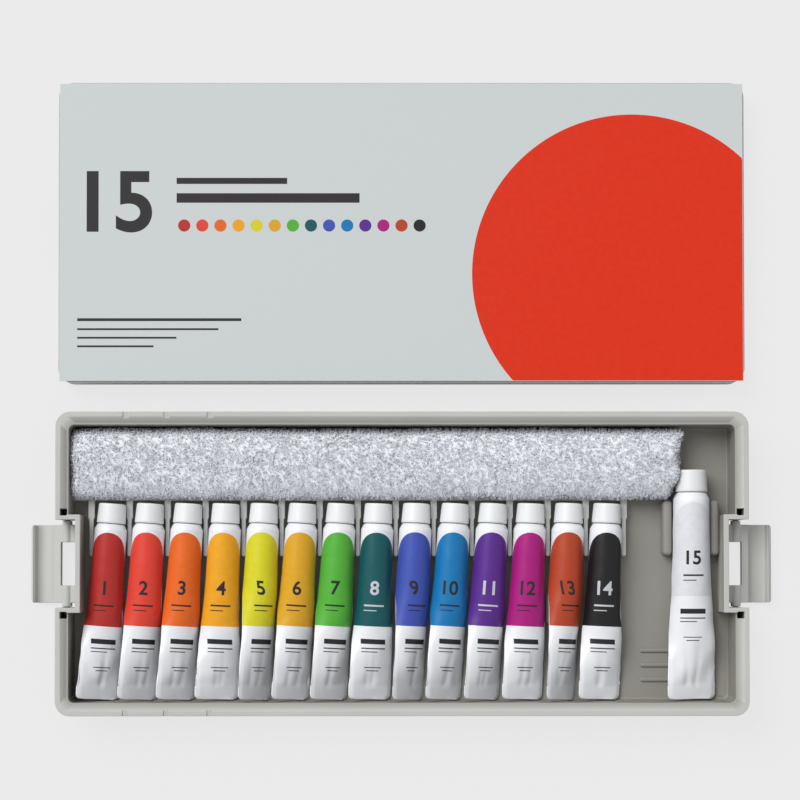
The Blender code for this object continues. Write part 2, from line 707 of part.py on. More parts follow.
def tube_bmesh(body_radius, shoulder_radius, shoulder_height, body_length, room, tilt):
    """A tube with its neck along +Z, its crimp at the far end of -Z, and its upper side at -Y.

    Each body ring lies between a circle and the flat crimp, whose outline is as long as the circle's. A ring
    that is wider than the room it has is turned, as an ellipse that just fits, up to the crimp's tilt.
    """
    angles = [2 * math.pi * i / ROUND_STEPS for i in range(ROUND_STEPS)]
    half_flat = math.pi * body_radius / 2
    crimp_room = 2 * half_flat * math.cos(tilt)

    def round_ring(radius, z):
        return [(radius * math.cos(a), radius * math.sin(a), z) for a in angles]

    def flat_place(a):
        folded = a if a <= math.pi else 2 * math.pi - a
        across = half_flat * (1 - 2 * folded / math.pi)
        return across, math.sin(a) / max(abs(math.sin(a)), CRIMP_FOLD_SHARE) * CRIMP_THICKNESS / 2

    def turned(ring, z, angle):
        c, s = math.cos(angle), math.sin(angle)
        return [(x * c - y * s, x * s + y * c, z) for x, y in ring]

    rings = [
        round_ring(NECK_RADIUS, NECK_LENGTH),
        round_ring(NECK_RADIUS, 0),
        round_ring(shoulder_radius, 0),
    ]
    crimp_start = body_length - CRIMP_BAND
    for share in BODY_SECTION_SHARES:
        z = -shoulder_height - share * (crimp_start - shoulder_height)
        flat = share**FLATTENING
        ring = []
        for a in angles:
            flat_x, flat_y = flat_place(a)
            x = (1 - flat) * body_radius * math.cos(a) + flat * flat_x
            y = (1 - flat) * body_radius * math.sin(a) + flat * flat_y
            ring.append((x, y))
        half_wide = (1 - flat) * body_radius + flat * half_flat
        half_thick = (1 - flat) * body_radius + flat * CRIMP_THICKNESS / 2
        half_room = ((1 - share) * room + share * crimp_room) / 2
        fit = (half_room**2 - half_thick**2) / max(half_wide**2 - half_thick**2, WELD_DISTANCE**2)
        rings.append(turned(ring, z, math.acos(math.sqrt(min(1.0, max(0.0, fit))))))
    rings.append(turned([flat_place(a) for a in angles], -body_length, tilt))
    return loft_bmesh(rings)


def cap_mesh(name, base_radius, top_radius, length):
    """The outline of a hollow screw cap from the axis round to the axis, for a Screw modifier to turn."""
    bore = NECK_RADIUS + THREAD_CLEARANCE
    depth = NECK_LENGTH + GAP
    profile = [(0, length), (top_radius - CAP_EDGE_RADIUS, length)]
    profile += [(top_radius, length - CAP_EDGE_RADIUS), (base_radius, 0), (bore, 0), (bore, depth), (0, depth)]
    mesh = bpy.data.meshes.new(name)
    mesh.from_pydata([(x, 0, z) for x, z in profile], [(i, i + 1) for i in range(len(profile) - 1)], [])
    return mesh


def frame_of(crimp, seat):
    """Turns a tube's own axes to the box's: neck from the crimp to the seat, and its own X level."""
    along = (seat - crimp).normalized()
    level = along.cross(Vector((0, 0, 1))).normalized()
    turn = Matrix((level, along.cross(level), along)).transposed()
    return Matrix.Translation(seat) @ turn.to_4x4()


def add_tube(name, crimp, seat, tilt, room, body, cap, parts, finishes):
    """A paint tube and its cap. The cap's origin is on the seat, and its own Z is the thread's axis."""
    place = frame_of(crimp, seat)
    body_radius, shoulder_radius, shoulder_height = body
    cap_base, cap_top, cap_length = cap
    bm = tube_bmesh(body_radius, shoulder_radius, shoulder_height, (seat - crimp).length, room, tilt)
    tube = mesh_object(f"tube_{name}", bm, parts, finishes[0])
    tube.matrix_world = place
    cover = bpy.data.objects.new(f"cap_{name}", cap_mesh(f"cap_{name}", cap_base, cap_top, cap_length))
    parts.objects.link(cover)
    cover.data.materials.append(finishes[1])
    screw = cover.modifiers.new("turned", "SCREW")
    screw.steps = screw.render_steps = ROUND_STEPS
    screw.use_merge_vertices = True
    screw.merge_threshold = WELD_DISTANCE
    cover.matrix_world = place @ Matrix.Translation((0, 0, GAP))


def crimp_edges():
    """Where each small tube's crimp starts and the last one ends, from the left, along the tray."""
    edges = []
    for i in range(len(PIGMENTS) + 1):
        share = POST_LEAN_SHARE if i % BAYS_PER_POST == 0 else LEAN_SHARE
        if i == 0:
            share = FIRST_LEAN_SHARE
        if i == len(PIGMENTS):
            share = LAST_LEAN_SHARE
        edges.append(FIRST_FINGER_X + (i - share) * BAY_PITCH)
    return edges


def small_tube_places():
    """The crimp's centre, the cap's seat and the crimp's tilt of each small tube.

    A crimp is wider than its bay, so it stands on its right edge, tilted until it fits beside the next one.
    """
    half_flat = math.pi * BODY_RADIUS / 2
    lean_centre_y = FINGER_END_Y + (SEAT_Y - FINGER_END_Y) / 2
    edges = crimp_edges()
    places = []
    for i, (start, end) in enumerate(zip(edges, edges[1:])):
        bay_x = FIRST_FINGER_X + (i + 0.5) * BAY_PITCH
        tilt = math.acos(min(1.0, (end - start - CRIMP_SPACING) / (2 * half_flat)))
        height = CAVITY_FLOOR + half_flat * math.sin(tilt) + CRIMP_THICKNESS / 2 * math.cos(tilt)
        crimp = Vector(((start + end) / 2, CRIMP_Y, max(height, CAVITY_FLOOR + BODY_RADIUS)))
        lean = (bay_x - crimp.x) / (lean_centre_y - CRIMP_Y)
        seat = Vector((bay_x + lean * (SEAT_Y - lean_centre_y), SEAT_Y, CAVITY_FLOOR + BODY_RADIUS))
        places.append((crimp, seat, tilt))
    return places


def large_tube_place():
    """The crimp's centre, the cap's seat and the crimp's tilt of the large tube, which lies on the ribs."""
    half_flat = math.pi * LARGE_BODY_RADIUS / 2
    rib_top = FLOOR_THICKNESS + RIB_HEIGHT + GAP
    height = rib_top + half_flat * math.sin(LARGE_CRIMP_TILT) + CRIMP_THICKNESS / 2
    crimp = Vector((LARGE_TUBE_X, CRIMP_Y, height))
    seat_y = CRIMP_Y + LARGE_TUBE_LENGTH - LARGE_CAP_LENGTH - GAP
    return crimp, Vector((LARGE_TUBE_X, seat_y, CAVITY_FLOOR + LARGE_BODY_RADIUS)), LARGE_CRIMP_TILT


def main():
    for old in list(bpy.data.objects):
        bpy.data.objects.remove(old, do_unlink=True)
    parts = new_collection("gouache_paint_set_box")
    cutters = new_collection("cutters")
    plastic = material("warm grey plastic", "#C0BFBA", 0.42)
    board = material("printed card", "#CCD2D2", 0.55)
    cloth = material("white terry", "#DCDEE8", 0.95)
    white = material("white cap plastic", "#E4E6E7", 0.35)
    add_tray(parts, cutters, plastic)
    add_rack(parts, plastic)
    add_latch(-1, "left", parts, cutters, plastic)
    add_latch(1, "right", parts, cutters, plastic)
    add_lid(parts, cutters, plastic, board)
    add_towel(parts, cloth)
    small_body = (BODY_RADIUS, SHOULDER_RADIUS, SHOULDER_HEIGHT)
    small_cap = (CAP_BASE_RADIUS, CAP_TOP_RADIUS, CAP_LENGTH)
    for (name, colour), place in zip(PIGMENTS, small_tube_places()):
        printed = material(f"printed tube {name}", colour, 0.35)
        add_tube(name, *place, BAY_PITCH - CRIMP_SPACING, small_body, small_cap, parts, (printed, white))
    large_body = (LARGE_BODY_RADIUS, LARGE_SHOULDER_RADIUS, LARGE_SHOULDER_HEIGHT)
    large_cap = (LARGE_CAP_BASE_RADIUS, LARGE_CAP_TOP_RADIUS, LARGE_CAP_LENGTH)
    printed = material("printed tube white", "#E1E2E6", 0.35)
    add_tube("white", *large_tube_place(), HOLDER_SPAN, large_body, large_cap, parts, (printed, white))


if __name__ == "__main__":
    main()
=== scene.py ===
"""Looks of the gouache paint set box: an open plastic tray with fourteen small paint tubes, one large tube and a
towel, and its lid with a printed card lying behind it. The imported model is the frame, and lengths are in metres."""

import json
import math

import bmesh
import bpy
import numpy as np
from bpy.props import FloatProperty, FloatVectorProperty, IntProperty, PointerProperty, StringProperty
from mathutils import Matrix, Vector

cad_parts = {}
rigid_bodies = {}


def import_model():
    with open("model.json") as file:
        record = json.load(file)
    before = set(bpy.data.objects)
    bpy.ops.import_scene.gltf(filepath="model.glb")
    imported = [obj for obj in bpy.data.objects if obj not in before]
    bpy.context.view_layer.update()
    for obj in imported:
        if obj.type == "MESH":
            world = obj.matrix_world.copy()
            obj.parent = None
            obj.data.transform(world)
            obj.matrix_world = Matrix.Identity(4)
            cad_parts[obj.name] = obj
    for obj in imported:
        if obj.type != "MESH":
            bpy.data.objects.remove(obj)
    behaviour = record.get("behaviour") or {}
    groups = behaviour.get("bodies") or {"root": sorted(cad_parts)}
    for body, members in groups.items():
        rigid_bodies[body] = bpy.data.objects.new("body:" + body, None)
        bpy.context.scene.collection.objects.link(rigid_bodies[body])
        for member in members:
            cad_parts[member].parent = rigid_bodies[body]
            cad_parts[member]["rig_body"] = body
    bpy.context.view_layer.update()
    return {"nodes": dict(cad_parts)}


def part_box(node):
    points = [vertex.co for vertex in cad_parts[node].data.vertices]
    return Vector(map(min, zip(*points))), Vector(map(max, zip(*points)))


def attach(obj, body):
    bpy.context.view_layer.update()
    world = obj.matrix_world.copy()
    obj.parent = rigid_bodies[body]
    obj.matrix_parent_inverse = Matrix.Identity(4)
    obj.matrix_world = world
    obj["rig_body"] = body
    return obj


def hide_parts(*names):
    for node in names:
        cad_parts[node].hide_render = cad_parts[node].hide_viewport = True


bl_info = {
    "name": "Gouache Paint Set Box",
    "version": (1, 0, 0),
    "blender": (4, 5, 0),
    "location": "3D View > Sidebar > Paint Box",
    "description": "Dresses a packed paint set box with its tubes, caps, towel, printed card and plastic",
    "category": "Object",
}

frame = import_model()
MM = 0.001

# Places and sizes of the tubes, as the solids have them
GAP = 0.3 * MM
FLOOR_TOP = 2.0 * MM + GAP
BAY_PITCH = 20.0 * MM
FIRST_FINGER_X = -163.0 * MM
FINGER_END_Y = 3.8 * MM
SEAT_Y = 20.9 * MM
CRIMP_Y = -70.8 * MM
LEAN_SHARE, POST_LEAN_SHARE, FIRST_LEAN_SHARE, LAST_LEAN_SHARE = 0.27, 0.13, 0.36, 0.10
BAYS_PER_POST = 4
CRIMP_SPACING = 0.6 * MM
CRIMP_THICKNESS = 1.2 * MM
CRIMP_BAND = 7.0 * MM
CRIMP_CORNER = 2.6 * MM
FLATTENING = 2.2
NECK_RADIUS = 4.0 * MM
NECK_LENGTH = 7.8 * MM
LARGE_TUBE_X = 151.9 * MM
LARGE_SEAT_Y = 37.3 * MM
LARGE_CRIMP_TILT = math.radians(26)
RIB_TOP = 3.2 * MM + GAP
LARGE_ROOM = 19.8 * MM

# Heights between which the painted shade on the tray's inside fades out towards its rim
INSIDE_TOP, RIM_FOOT = 20.5 * MM, 23.8 * MM

# On the tray: floor edges lie below this height, and outer walls outside these half lengths
FLOOR_EDGE_TOP = 2.1 * MM
WALL_HALF_X, WALL_HALF_Y = 172 * MM, 71 * MM

# The towel's own space behind the rail, and the card on the lid
TOWEL_LOW = Vector((-172.3, 32.2, 2.3)) * MM
TOWEL_HIGH = Vector((143.1, 71.3, 21.3)) * MM
RAIL_BACK = 35.9 * MM
RAIL_TOP = 8.6 * MM
TOWEL_SLANT, TOWEL_SLANT_Y = 0.16, 49.1 * MM
TOWARDS_LIGHT = (-0.8, 0.8, 2.0)
LID_Y = 173.9 * MM

PIGMENTS = (
    ("carmine", "#B6332F"),
    ("scarlet", "#E14637"),
    ("orange", "#E66923"),
    ("deep_yellow", "#EBA523"),
    ("lemon_yellow", "#D7D228"),
    ("yellow_ochre", "#DCA528"),
    ("light_green", "#55AF3C"),
    ("viridian", "#14555A"),
    ("ultramarine", "#4155AF"),
    ("sky_blue", "#1978B4"),
    ("violet", "#5A2D8C"),
    ("magenta", "#AA1E7D"),
    ("burnt_sienna", "#B44628"),
    ("jet_black", "#1E1C1E"),
)


# ---------------------------------------------------------------- helpers


def linear(hex_colour):
    """sRGB hex to linear RGBA."""
    channels = [int(hex_colour[i : i + 2], 16) / 255 for i in (1, 3, 5)]
    return tuple(c / 12.92 if c <= 0.04045 else ((c + 0.055) / 1.055) ** 2.4 for c in channels) + (1.0,)


def set_inputs(tree, node, inputs):
    """Links each of a node's inputs to a socket or sets it to a value, by name or number."""
    for key, value in inputs.items():
        if isinstance(value, bpy.types.NodeSocket):
            tree.links.new(value, node.inputs[key])
        else:
            node.inputs[key].default_value = value


def add_node(tree, kind, settings=None, inputs=None):
    """Adds one node, sets its settings, and links or sets its inputs."""
    made = tree.nodes.new(kind)
    for name, value in (settings or {}).items():
        setattr(made, name, value)
    set_inputs(tree, made, inputs or {})
    return made


def new_material(name):
    """A node material, with its tree, its Principled shader and its object coordinates."""
    made = bpy.data.materials.new(name)
    made.use_nodes = True
    tree = made.node_tree
    return made, tree, tree.nodes["Principled BSDF"], add_node(tree, "ShaderNodeTexCoord").outputs["Object"]


def new_mesh(name, points, faces, closed=True):
    """A smooth mesh object from arrays of points and faces. A closed one has its doubles merged and normals set."""
    mesh = bpy.data.meshes.new(name)
    cells = faces.tolist() if isinstance(faces, np.ndarray) else faces
    mesh.from_pydata(np.asarray(points, float).reshape(-1, 3).tolist(), [], cells)
    if closed:
        bm = bmesh.new()
        bm.from_mesh(mesh)
        bmesh.ops.remove_doubles(bm, verts=bm.verts, dist=0.001 * MM)
        bmesh.ops.recalc_face_normals(bm, faces=bm.faces)
        bm.to_mesh(mesh)
        bm.free()
    mesh.shade_smooth()
    mesh.update()
    made = bpy.data.objects.new(name, mesh)
    bpy.context.scene.collection.objects.link(made)
    return made


def grid_faces(rows, columns, wrap=False):
    """Quads between the points of a grid, rows first. With wrap the last column meets the first."""
    i = np.arange(rows - 1)[:, None]
    j = np.arange(columns if wrap else columns - 1)[None, :]
    after = (j + 1) % columns
    low, high = i * columns, (i + 1) * columns
    return np.stack([low + j, low + after, high + after, high + j], -1).reshape(-1, 4)


def soft_noise(u, v, seed, size, terms=9):
    """Smooth seeded noise between about -1 and 1: a sum of sine waves in random directions, none shorter than size."""
    rng = np.random.default_rng(seed)
    total = np.zeros(np.broadcast(u, v).shape)
    for _ in range(terms):
        turn, phase = rng.uniform(0, 2 * math.pi, 2)
        wave = 2 * math.pi / (size * rng.uniform(1.0, 3.0))
        total += np.sin(wave * (np.cos(turn) * u + np.sin(turn) * v) + phase)
    return total / math.sqrt(terms)


def smooth_step(low, high, value):
    """0 below low, 1 above high, and an even S between."""
    share = np.clip((value - low) / (high - low), 0, 1)
    return share * share * (3 - 2 * share)


def dress(piece, node, material, body=None):
    """Gives a piece its material and its place in the frame: the node it stands for and the body it rides on."""
    piece.data.materials.clear()
    piece.data.materials.append(material)
    owner = body or frame["nodes"][node]["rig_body"]
    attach(piece, owner)
    if node:
        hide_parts(node)
    return piece


# ---------------------------------------------------------------- materials


def tinted(tree, colour, pattern, low, high, spread=(0.3, 0.7)):
    """A colour times a factor from low to high, as a pattern's value goes over the spread."""
    tint = add_node(
        tree,
        "ShaderNodeMapRange",
        inputs={"Value": pattern, "From Min": spread[0], "From Max": spread[1], "To Min": low, "To Max": high},
    )
    return add_node(
        tree, "ShaderNodeVectorMath", {"operation": "SCALE"}, {0: colour, "Scale": tint.outputs["Result"]}
    ).outputs["Vector"]


def moulded_plastic(name, colour, grain, roughness, painted_shade_inside=False):
    """Injection moulded polypropylene: an even warm grey with a faint cloudiness and a fine matt grain. With painted
    shade inside, the colour is painted darker and a little warmer below the rim, for the light that the walls keep
    out."""
    made, tree, shader, place = new_material(name)
    # Cloudiness from the melt's flow, 40 mm wide
    flow = add_node(tree, "ShaderNodeTexNoise", inputs={"Vector": place, "Scale": 1 / (40 * MM), "Detail": 3.0})
    mixed = tinted(tree, linear(colour)[:3], flow.outputs["Fac"], 0.965, 1.03)
    if painted_shade_inside:
        height = add_node(tree, "ShaderNodeSeparateXYZ", inputs={0: place}).outputs["Z"]
        inside = add_node(
            tree, "ShaderNodeMapRange", inputs={"Value": height, "From Min": INSIDE_TOP, "From Max": RIM_FOOT}
        )
        # Painted shade: the inside is painted this much darker than the rim, and a little warmer, for the light the
        # walls keep out
        painted_shade = add_node(
            tree,
            "ShaderNodeMix",
            {"data_type": "RGBA"},
            {0: inside.outputs["Result"], 6: linear("#BDBAB4"), 7: (1.0, 1.0, 1.0, 1.0)},
        )
        factors = {0: mixed, 1: painted_shade.outputs[2]}
        mixed = add_node(tree, "ShaderNodeVectorMath", {"operation": "MULTIPLY"}, factors).outputs["Vector"]
    # The spark-eroded mould leaves a grain of about 0.1 mm, drawn coarser so that it shows
    fine = add_node(tree, "ShaderNodeTexNoise", inputs={"Vector": place, "Scale": 1 / grain, "Detail": 2.0})
    bump = {"Height": fine.outputs["Fac"], "Strength": 0.18, "Distance": 0.06 * MM}
    rough = {"Value": fine.outputs["Fac"], "To Min": roughness - 0.06, "To Max": roughness + 0.08}
    look = {
        "Base Color": mixed,
        "Roughness": add_node(tree, "ShaderNodeMapRange", inputs=rough).outputs["Result"],
        "Normal": add_node(tree, "ShaderNodeBump", inputs=bump).outputs["Normal"],
        "IOR": 1.49,
        "Specular IOR Level": 0.45,
    }
    set_inputs(tree, shader, look)
    return made


def enamelled_aluminium(name, colour):
    """A soft aluminium tube, roller-coated with white enamel: glossy, faintly rippled where it was pressed."""
    made, tree, shader, place = new_material(name)
    # Ripples about 14 mm wide
    wide = add_node(tree, "ShaderNodeTexNoise", inputs={"Vector": place, "Scale": 1 / (14 * MM), "Detail": 4.0})
    # Roller marks and orange peel of the enamel, about 1.5 mm wide
    peel = add_node(tree, "ShaderNodeTexNoise", inputs={"Vector": place, "Scale": 1 / (1.5 * MM), "Detail": 3.0})
    bump = {"Height": peel.outputs["Fac"], "Strength": 0.12, "Distance": 0.08 * MM}
    rough = {"Value": wide.outputs["Fac"], "To Min": 0.26, "To Max": 0.42}
    look = {
        "Base Color": tinted(tree, linear(colour)[:3], wide.outputs["Fac"], 0.96, 1.02),
        "Roughness": add_node(tree, "ShaderNodeMapRange", inputs=rough).outputs["Result"],
        "Normal": add_node(tree, "ShaderNodeBump", inputs=bump).outputs["Normal"],
        "Coat Weight": 0.25,
        "Coat Roughness": 0.15,
    }
    set_inputs(tree, shader, look)
    return made


def printing_ink(name, roughness):
    """Offset ink on enamel or card: each shape's own colour, kept in the piece's attribute, a little uneven."""
    made, tree, shader, place = new_material(name)
    ink = add_node(tree, "ShaderNodeAttribute", {"attribute_name": "ink"})
    # Uneven inking, 3 mm wide
    wide = add_node(tree, "ShaderNodeTexNoise", inputs={"Vector": place, "Scale": 1 / (3 * MM), "Detail": 3.0})
    rough = {"Value": wide.outputs["Fac"], "To Min": roughness - 0.05, "To Max": roughness + 0.05}
    look = {
        "Base Color": tinted(tree, ink.outputs["Color"], wide.outputs["Fac"], 0.96, 1.03),
        "Roughness": add_node(tree, "ShaderNodeMapRange", inputs=rough).outputs["Result"],
        "Specular IOR Level": 0.25,
    }
    set_inputs(tree, shader, look)
    return made


def coated_card(name, colour):
    """Coated board: smooth pale blue grey, with a faint fibre under the varnish."""
    made, tree, shader, place = new_material(name)
    # Paper fibres about 1 mm long
    fibre = add_node(tree, "ShaderNodeTexNoise", inputs={"Vector": place, "Scale": 1 / (1.0 * MM), "Detail": 5.0})
    bump = {"Height": fibre.outputs["Fac"], "Strength": 0.08, "Distance": 0.03 * MM}
    rough = {"Value": fibre.outputs["Fac"], "To Min": 0.46, "To Max": 0.58}
    look = {
        "Base Color": tinted(tree, linear(colour)[:3], fibre.outputs["Fac"], 0.985, 1.012),
        "Roughness": add_node(tree, "ShaderNodeMapRange", inputs=rough).outputs["Result"],
        "Normal": add_node(tree, "ShaderNodeBump", inputs=bump).outputs["Normal"],
    }
    set_inputs(tree, shader, look)
    return made


def terry_cotton(name, colour, loop, thin=0.0):
    """Undyed cotton terry: matt white with a faint sheen, each loop a little lighter or darker. Loops are so thin
    that a share of the light comes through them."""
    made, tree, shader, place = new_material(name)
    loops = add_node(
        tree, "ShaderNodeTexNoise", inputs={"Vector": place, "Scale": 1 / loop, "Detail": 4.0, "Roughness": 0.7}
    )
    # Uneven washing, 16 mm wide
    wide = add_node(tree, "ShaderNodeTexNoise", inputs={"Vector": place, "Scale": 1 / (16 * MM), "Detail": 2.0})
    both = add_node(tree, "ShaderNodeMath", {"operation": "ADD"}, {0: loops.outputs["Fac"], 1: wide.outputs["Fac"]})
    mixed = tinted(tree, linear(colour)[:3], both.outputs["Value"], 0.95, 1.03, (0.7, 1.3))
    bump = {"Height": loops.outputs["Fac"], "Strength": 0.8, "Distance": 0.6 * MM}
    look = {
        "Base Color": mixed,
        "Normal": add_node(tree, "ShaderNodeBump", inputs=bump).outputs["Normal"],
        "Roughness": 0.95,
        "Specular IOR Level": 0.2,
        "Sheen Weight": 0.6,
        "Sheen Roughness": 0.6,
    }
    set_inputs(tree, shader, look)
    if thin:
        through = add_node(tree, "ShaderNodeBsdfTranslucent", inputs={"Color": mixed})
        blend = {0: thin, 1: shader.outputs[0], 2: through.outputs[0]}
        surface = add_node(tree, "ShaderNodeMixShader", inputs=blend)
        set_inputs(tree, tree.nodes["Material Output"], {"Surface": surface.outputs[0]})
    return made


def studio_floor(name, colour, shadow):
    """Matt painted board under the object: an even pale grey with a very faint mottle."""
    made, tree, shader, place = new_material(name)
    mottle = add_node(tree, "ShaderNodeTexNoise", inputs={"Vector": place, "Scale": 1 / (60 * MM), "Detail": 3.0})
    mixed = tinted(tree, linear(colour)[:3], mottle.outputs["Fac"], 0.995, 1.005, (0.0, 1.0))
    set_inputs(tree, shader, {"Base Color": mixed, "Roughness": 0.9, "Specular IOR Level": 0.1})
    # The camera sees part of the floor as plain colour, so that the object's shadow stays faint
    rays = add_node(tree, "ShaderNodeLightPath")
    share = {0: rays.outputs["Is Camera Ray"], 1: 1 - shadow}
    seen = add_node(tree, "ShaderNodeMath", {"operation": "MULTIPLY"}, share)
    plain = add_node(tree, "ShaderNodeEmission", inputs={"Color": linear(colour), "Strength": 1.0})
    blend = {0: seen.outputs["Value"], 1: shader.outputs[0], 2: plain.outputs[0]}
    surface = add_node(tree, "ShaderNodeMixShader", inputs=blend)
    set_inputs(tree, tree.nodes["Material Output"], {"Surface": surface.outputs[0]})
    return made


# ---------------------------------------------------------------- moulded pieces


def moulded_copy(node, edge_round, material, fillet=0.0):
    """The node's own solid, with its triangles merged into flat faces and each edge rounded as a mould leaves it.
    Where a fillet is given, the outer walls meet the floor in it. Inner edges round the floor's fittings stay."""
    mesh = frame["nodes"][node].data.copy()
    bm = bmesh.new()
    bm.from_mesh(mesh)
    bmesh.ops.remove_doubles(bm, verts=bm.verts, dist=0.06 * MM)
    bmesh.ops.dissolve_limit(bm, angle_limit=math.radians(0.6), verts=bm.verts, edges=bm.edges)
    widest = max(edge_round, fillet)
    weight = bm.edges.layers.float.new("bevel_weight_edge")
    for edge in bm.edges:
        if len(edge.link_faces) == 2 and edge.calc_face_angle() > math.radians(32):
            at_floor = edge.calc_face_angle_signed() < 0 and max(v.co.z for v in edge.verts) < FLOOR_EDGE_TOP
            at_wall = min(max(abs(v.co.x) / WALL_HALF_X, abs(v.co.y) / WALL_HALF_Y) for v in edge.verts) > 1
            edge[weight] = edge_round / widest if not at_floor else float(bool(fillet) and at_wall)
            edge.smooth = edge[weight] > 0
    bm.to_mesh(mesh)
    bm.free()
    mesh.shade_smooth()
    piece = bpy.data.objects.new(f"moulded_{node}", mesh)
    bpy.context.scene.collection.objects.link(piece)
    bevel = piece.modifiers.new("mould_edge", "BEVEL")
    bevel.width = widest
    bevel.segments = 3
    bevel.limit_method = "WEIGHT"
    bevel.use_clamp_overlap = False
    even = piece.modifiers.new("flat_faces", "WEIGHTED_NORMAL")
    even.weight = 100
    even.keep_sharp = True
    return dress(piece, node, material)


# ---------------------------------------------------------------- tubes


class Tube:
    """One paint tube's sizes and place. Its own +Z runs from the crimp to the neck, and -Y is its upper side."""

    def __init__(self, name, crimp, seat, tilt, room, radius, shoulder_radius, shoulder, seed):
        self.name = name
        self.radius, self.shoulder_radius, self.shoulder = radius, shoulder_radius, shoulder
        self.tilt, self.room = tilt, room
        self.length = (seat - crimp).length
        self.seed = seed
        along = (seat - crimp).normalized()
        level = along.cross(Vector((0, 0, 1))).normalized()
        turn = Matrix((level, along.cross(level), along)).transposed()
        self.place = np.array(Matrix.Translation(seat) @ turn.to_4x4())

    def to_frame(self, points):
        return points @ self.place[:3, :3].T + self.place[:3, 3]

    def flatness(self, depth):
        """How far down the body a depth is, and the flat crimp's share in the section there, a power of it."""
        share = np.clip((depth - self.shoulder) / (self.length - CRIMP_BAND - self.shoulder), 0, 1)
        return share, share**FLATTENING

    def section_turn(self, depth):
        """The turn of each section: an ellipse as wide as the section is turned until it fits the room beside its
        neighbours, which narrows evenly to the tilted crimp's. A mean over 10 mm makes the start of it soft."""
        half_flat = math.pi * self.radius / 2
        total = 0.0
        for shift in np.linspace(-5, 5, 9) * MM:
            share, flat = self.flatness(depth + shift)
            wide = (1 - flat) * self.radius + flat * half_flat
            thick = (1 - flat) * self.radius + flat * CRIMP_THICKNESS / 2
            half_room = (1 - share) * self.room / 2 + share * half_flat * math.cos(self.tilt)
            fit = (half_room**2 - thick**2) / np.maximum(wide**2 - thick**2, 1e-12)
            total = total + np.arccos(np.sqrt(np.clip(fit, 0, 1)))
        return total / 9

    def outline(self, angle, depth):
        """The bare form: at each depth below the seat, a mean of the circle and the flat crimp of the same length,
        turned as section_turn says, and the crimp's corners are cut round at the very end."""
        half_flat = math.pi * self.radius / 2
        _, flat = self.flatness(depth)
        turn = np.mod(angle, 2 * math.pi)
        folded = np.where(turn <= math.pi, turn, 2 * math.pi - turn)
        sine = np.sin(turn)
        across = half_flat * (1 - 2 * folded / math.pi)
        thick = sine / np.maximum(np.abs(sine), 0.3) * CRIMP_THICKNESS / 2
        into_corner = np.clip((depth - (self.length - CRIMP_CORNER)) / CRIMP_CORNER, 0, 1)
        across = across * (1 - (1 - np.sqrt(1 - into_corner**2)) * CRIMP_CORNER / half_flat)
        x = (1 - flat) * self.radius * np.cos(turn) + flat * across
        y = (1 - flat) * self.radius * sine + flat * thick
        lean = self.section_turn(depth)
        return x * np.cos(lean) - y * np.sin(lean), x * np.sin(lean) + y * np.cos(lean)

    def dents(self, angle, depth):
        """Soft dents, deeper towards the crimp, and two pressed valleys that run up from it."""
        arc = (np.mod(angle, 2 * math.pi) - 1.5 * math.pi) * self.radius
        near = smooth_step(0.25 * self.length, self.length, depth)
        off_crimp = 1 - smooth_step(self.length - 1.2 * CRIMP_BAND, self.length - 0.8 * CRIMP_BAND, depth)
        dent = (0.05 + 0.20 * near) * MM * (soft_noise(arc, depth, self.seed, 9 * MM) - 0.8)
        rng = np.random.default_rng(self.seed + 500)
        for _ in range(2):
            middle = rng.uniform(-0.5, 0.5) * self.radius
            lean = rng.uniform(-0.08, 0.08)
            run = np.exp(-(((arc - middle - lean * (self.length - depth)) / (1.7 * MM)) ** 2))
            dent = dent - 0.42 * MM * run * smooth_step(0.62 * self.length, 0.94 * self.length, depth)
        return dent * off_crimp

    def surface(self, angle, depth, lift=0.0):
        """Points on the tube's wall at angles round it and depths below the seat, lifted along the outward normal."""
        step = 0.01
        x, y = self.outline(angle, depth)
        x1, y1 = self.outline(angle - step, depth)
        x2, y2 = self.outline(angle + step, depth)
        away = np.stack([y2 - y1, x1 - x2], -1)
        away /= np.maximum(np.linalg.norm(away, axis=-1, keepdims=True), 1e-12)
        rise = self.dents(angle, depth) + lift
        z = -np.broadcast_to(depth, x.shape)
        return np.stack([x + away[..., 0] * rise, y + away[..., 1] * rise, z], -1)


